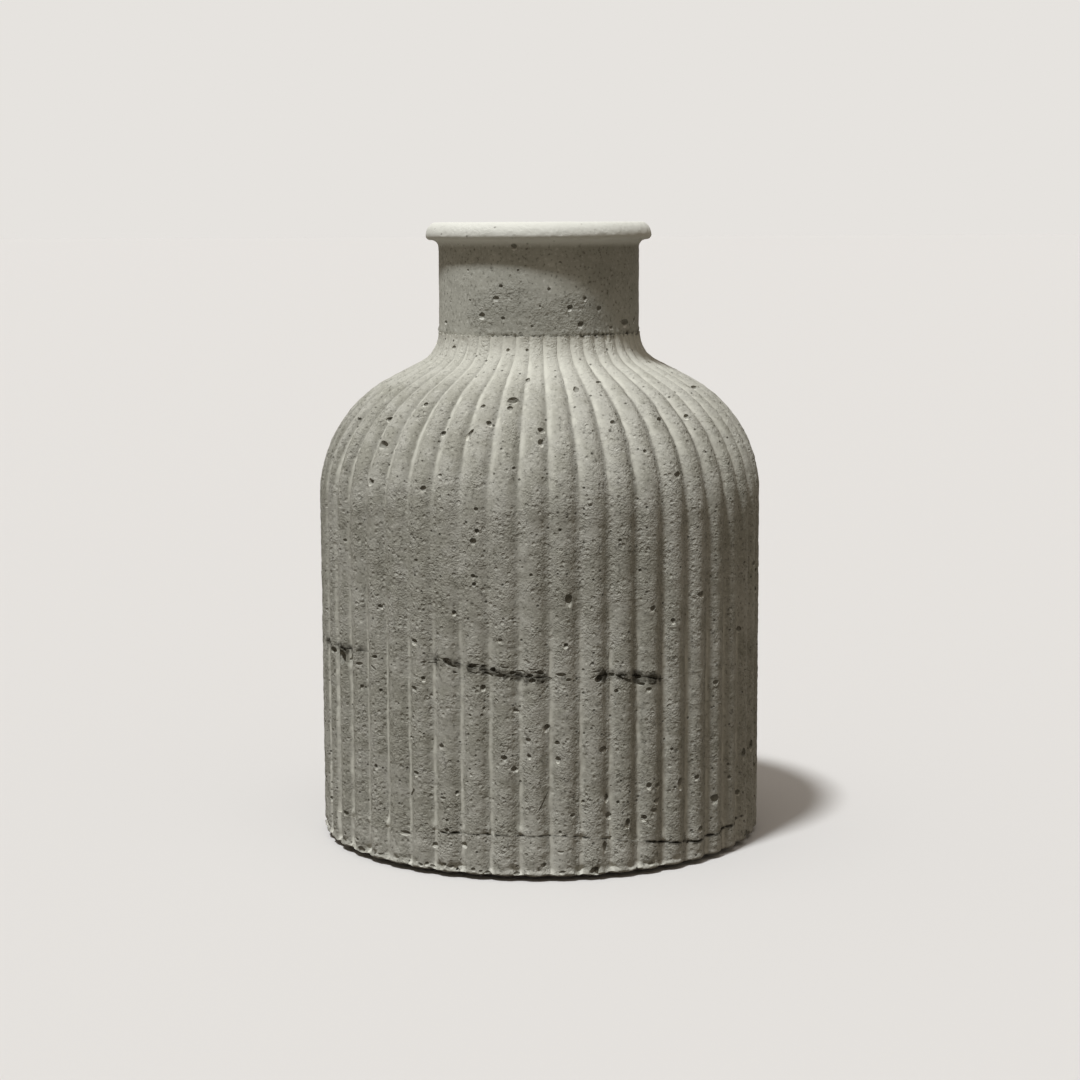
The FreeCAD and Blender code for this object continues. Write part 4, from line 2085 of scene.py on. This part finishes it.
        # Painted shade where the valleys' bottoms are too narrow for the mesh to darken them.
        bottom = add(tree, "Math", {0: share, 1: 0.4}, operation="SUBTRACT")
        bottom = add(tree, "Math", {0: bottom}, operation="ABSOLUTE")
        bottom = add(tree, "MapRange", {"Value": bottom, "From Min": 0.2, "From Max": 0.0}, **EASED)
        topmost = add(tree, "MapRange", {"Value": height, "From Min": self.valley_shade_fade[0],
                      "From Max": self.valley_shade_fade[1], "To Min": 0.35}, **EASED)
        valley_shade = add(tree, "Math", {0: high, 1: 0.22, 2: 0.1}, operation="MULTIPLY_ADD")
        for part in (topmost, bottom):
            valley_shade = add(tree, "Math", {0: valley_shade, 1: part}, operation="MULTIPLY")
        return valley_shade


@dataclass(frozen=True)
class BrushedSealer(Finish):
    """A clear grey sealing coat, brushed on, half glossy with faint strokes."""

    name: str = "brushed_sealer"
    tint: str = "6f6c62"
    deep: str = "57544b"
    stroke_mm: float = 16.0

    def surface(self, tree: NodeTree) -> Node:
        """Strokes drawn out round the vase, in tone, gloss and height.

        Args:
            tree: the finish's tree.

        Returns:
            The shader.
        """
        place = add(tree, "TexCoord").outputs["Object"]
        drawn = add(tree, "Mapping", {"Vector": place, "Scale": (1, 1, 7)})
        strokes = add(tree, "TexNoise", {"Vector": drawn, "Scale": scale_of(self.stroke_mm),
                      "Detail": 4.0})
        colour = lay_over(tree, linear(self.deep), ((strokes, None, self.tint),))
        gloss = add(tree, "MapRange", {"Value": strokes, "To Min": 0.3, "To Max": 0.55})
        bump = add(tree, "Bump", {"Height": strokes, "Strength": 0.5, "Distance": 0.3 * MM})
        return add(tree, "BsdfPrincipled", {"Base Color": colour, "Roughness": gloss,
                   "Normal": bump})


@dataclass(frozen=True)
class PressedFelt(Finish):
    """Dark pressed wool felt, dull, with short fibres drawn coarser than real ones, to show."""

    name: str = "pressed_felt"
    wool: str = "2c2b29"
    lint: str = "4a4844"
    fibre_mm: float = 0.5

    def surface(self, tree: NodeTree) -> Node:
        """Curled fibres, in tone and height, with a faint sheen.

        Args:
            tree: the finish's tree.

        Returns:
            The shader.
        """
        place = add(tree, "TexCoord").outputs["Object"]
        fibres = add(tree, "TexNoise", {"Vector": place, "Scale": scale_of(self.fibre_mm),
                     "Detail": 3.0, "Distortion": 1.5})
        colour = lay_over(tree, linear(self.wool), ((fibres, None, self.lint),))
        bump = add(tree, "Bump", {"Height": fibres, "Strength": 0.8, "Distance": 0.2 * MM})
        return add(tree, "BsdfPrincipled", {"Base Color": colour, "Roughness": 0.95, "Normal": bump,
                   "Sheen Weight": 0.3})


def seen_share(tree: NodeTree) -> Node:
    """One for rays from the camera and for those mirrored or let through on their way.

    Args:
        tree: the tree that asks.

    Returns:
        The node that tells.
    """
    rays = add(tree, "LightPath").outputs
    seen = add(tree, "Math", {0: rays["Is Camera Ray"], 1: rays["Is Glossy Ray"]},
               operation="MAXIMUM")
    return add(tree, "Math", {0: seen, 1: rays["Is Transmission Ray"]}, operation="MAXIMUM")


@dataclass(frozen=True)
class FloorPaint(Finish):
    """Pale to the camera, and dark to light that bounces on to the vase, as a dark table is."""

    name: str = "floor_paint"
    paint: str = "dbd7d5"
    bounce: str = "4a443a"

    def surface(self, tree: NodeTree) -> Node:
        """Dull paint of one tone for each kind of ray."""
        colour = lay_over(tree, linear(self.bounce), ((seen_share(tree), None, self.paint),))
        return add(tree, "BsdfPrincipled", {"Base Color": colour, "Roughness": 0.9})


@dataclass(frozen=True)
class Lamp:
    """One soft light, far away. Angles are degrees; width is how large it looks from the vase."""

    name: str
    azimuth: float
    height: float
    width: float
    strength: float
    colour: str = "ffffff"

    def make(self) -> None:
        """Adds the light."""
        rise = math.radians(self.height)
        away = (outward_at(math.radians(self.azimuth)) * math.cos(rise)
                + Vector((0, 0, math.sin(rise))))
        bpy.ops.object.light_add(type="SUN", location=away)
        light = bpy.context.object
        light.name = self.name
        light.rotation_euler = away.to_track_quat("Z", "Y").to_euler()
        light.data.angle = math.radians(self.width)
        light.data.energy = self.strength
        light.data.color = linear(self.colour)[:3]


@dataclass(frozen=True)
class Studio:
    """A pale floor under a soft key light from the upper left, a wide one above and a dim room."""

    lamps: tuple[Lamp, ...] = (
        Lamp("key_light", -36, 66.5, 6.5, 2.76, "f8fdff"),
        Lamp("top_light", -20, 84, 50, 0.38),
    )
    room: str = "fff0d9"
    room_strength: float = 0.21
    backdrop: str = "e6e3df"
    floor_size: float = 120.0

    def make(self) -> None:
        """Adds the floor, the lights and the world."""
        bpy.ops.mesh.primitive_grid_add(x_subdivisions=8, y_subdivisions=8, size=self.floor_size)
        floor = bpy.context.object
        floor.name = "studio_floor"
        floor.data.materials.append(FloorPaint().make())
        for lamp in self.lamps:
            lamp.make()
        self._room_light()

    def _room_light(self) -> None:
        """A dim warm room, which the camera sees as a pale backdrop."""
        world = bpy.data.worlds.new("studio_room")
        bpy.context.scene.world = world
        tree = bare_tree(world)
        light = add(tree, "Background", {"Color": linear(self.room),
                    "Strength": self.room_strength})
        wall = add(tree, "Background", {"Color": linear(self.backdrop), "Strength": 1.0})
        both = add(tree, "MixShader", {0: seen_share(tree), 1: light, 2: wall})
        add(tree, "OutputWorld", {"Surface": both})


def main() -> None:
    """Builds the vase piece by piece, then the studio."""
    logging.basicConfig(level=logging.INFO, format="%(asctime)s %(message)s")
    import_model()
    bpy.context.scene.view_settings.view_transform = "Standard"
    camera = PhotoCamera()
    camera.make()
    ribs = Ribs()
    body = RibbedConcrete("body_concrete", paste="bbb8af", shade="a7a499", pale="dddacf",
                          dark="47433a", ribs=ribs).make()
    base = RibbedConcrete("base_concrete", paste="c3c0b7", shade="afaca2", pale="e0ddd3",
                          dark="4a463d", ribs=ribs).make()
    neck = NeckConcrete("neck_concrete", paste="c6c4ba", shade="b7b5ab", pale="eae8e0",
                        dark="524e43", worm_depth=0.15, grit_depth=0.45, pock_depth=0.2,
                        pore_depth=0.2, pore_shade=0.35).make()
    castings = (
        (RimNeck(ribs, camera), neck),
        (UpperBody(ribs, camera), body),
        (LowerBody(ribs, camera), body),
        (BaseSlab(ribs, camera), base),
        (Lining(ribs, camera), BrushedSealer().make()),
        (FeltPad(ribs, camera), PressedFelt().make()),
    )
    for casting, finish in castings:
        casting.dress(casting.build(), finish)
    Studio().make()


if __name__ == "__main__":
    main()
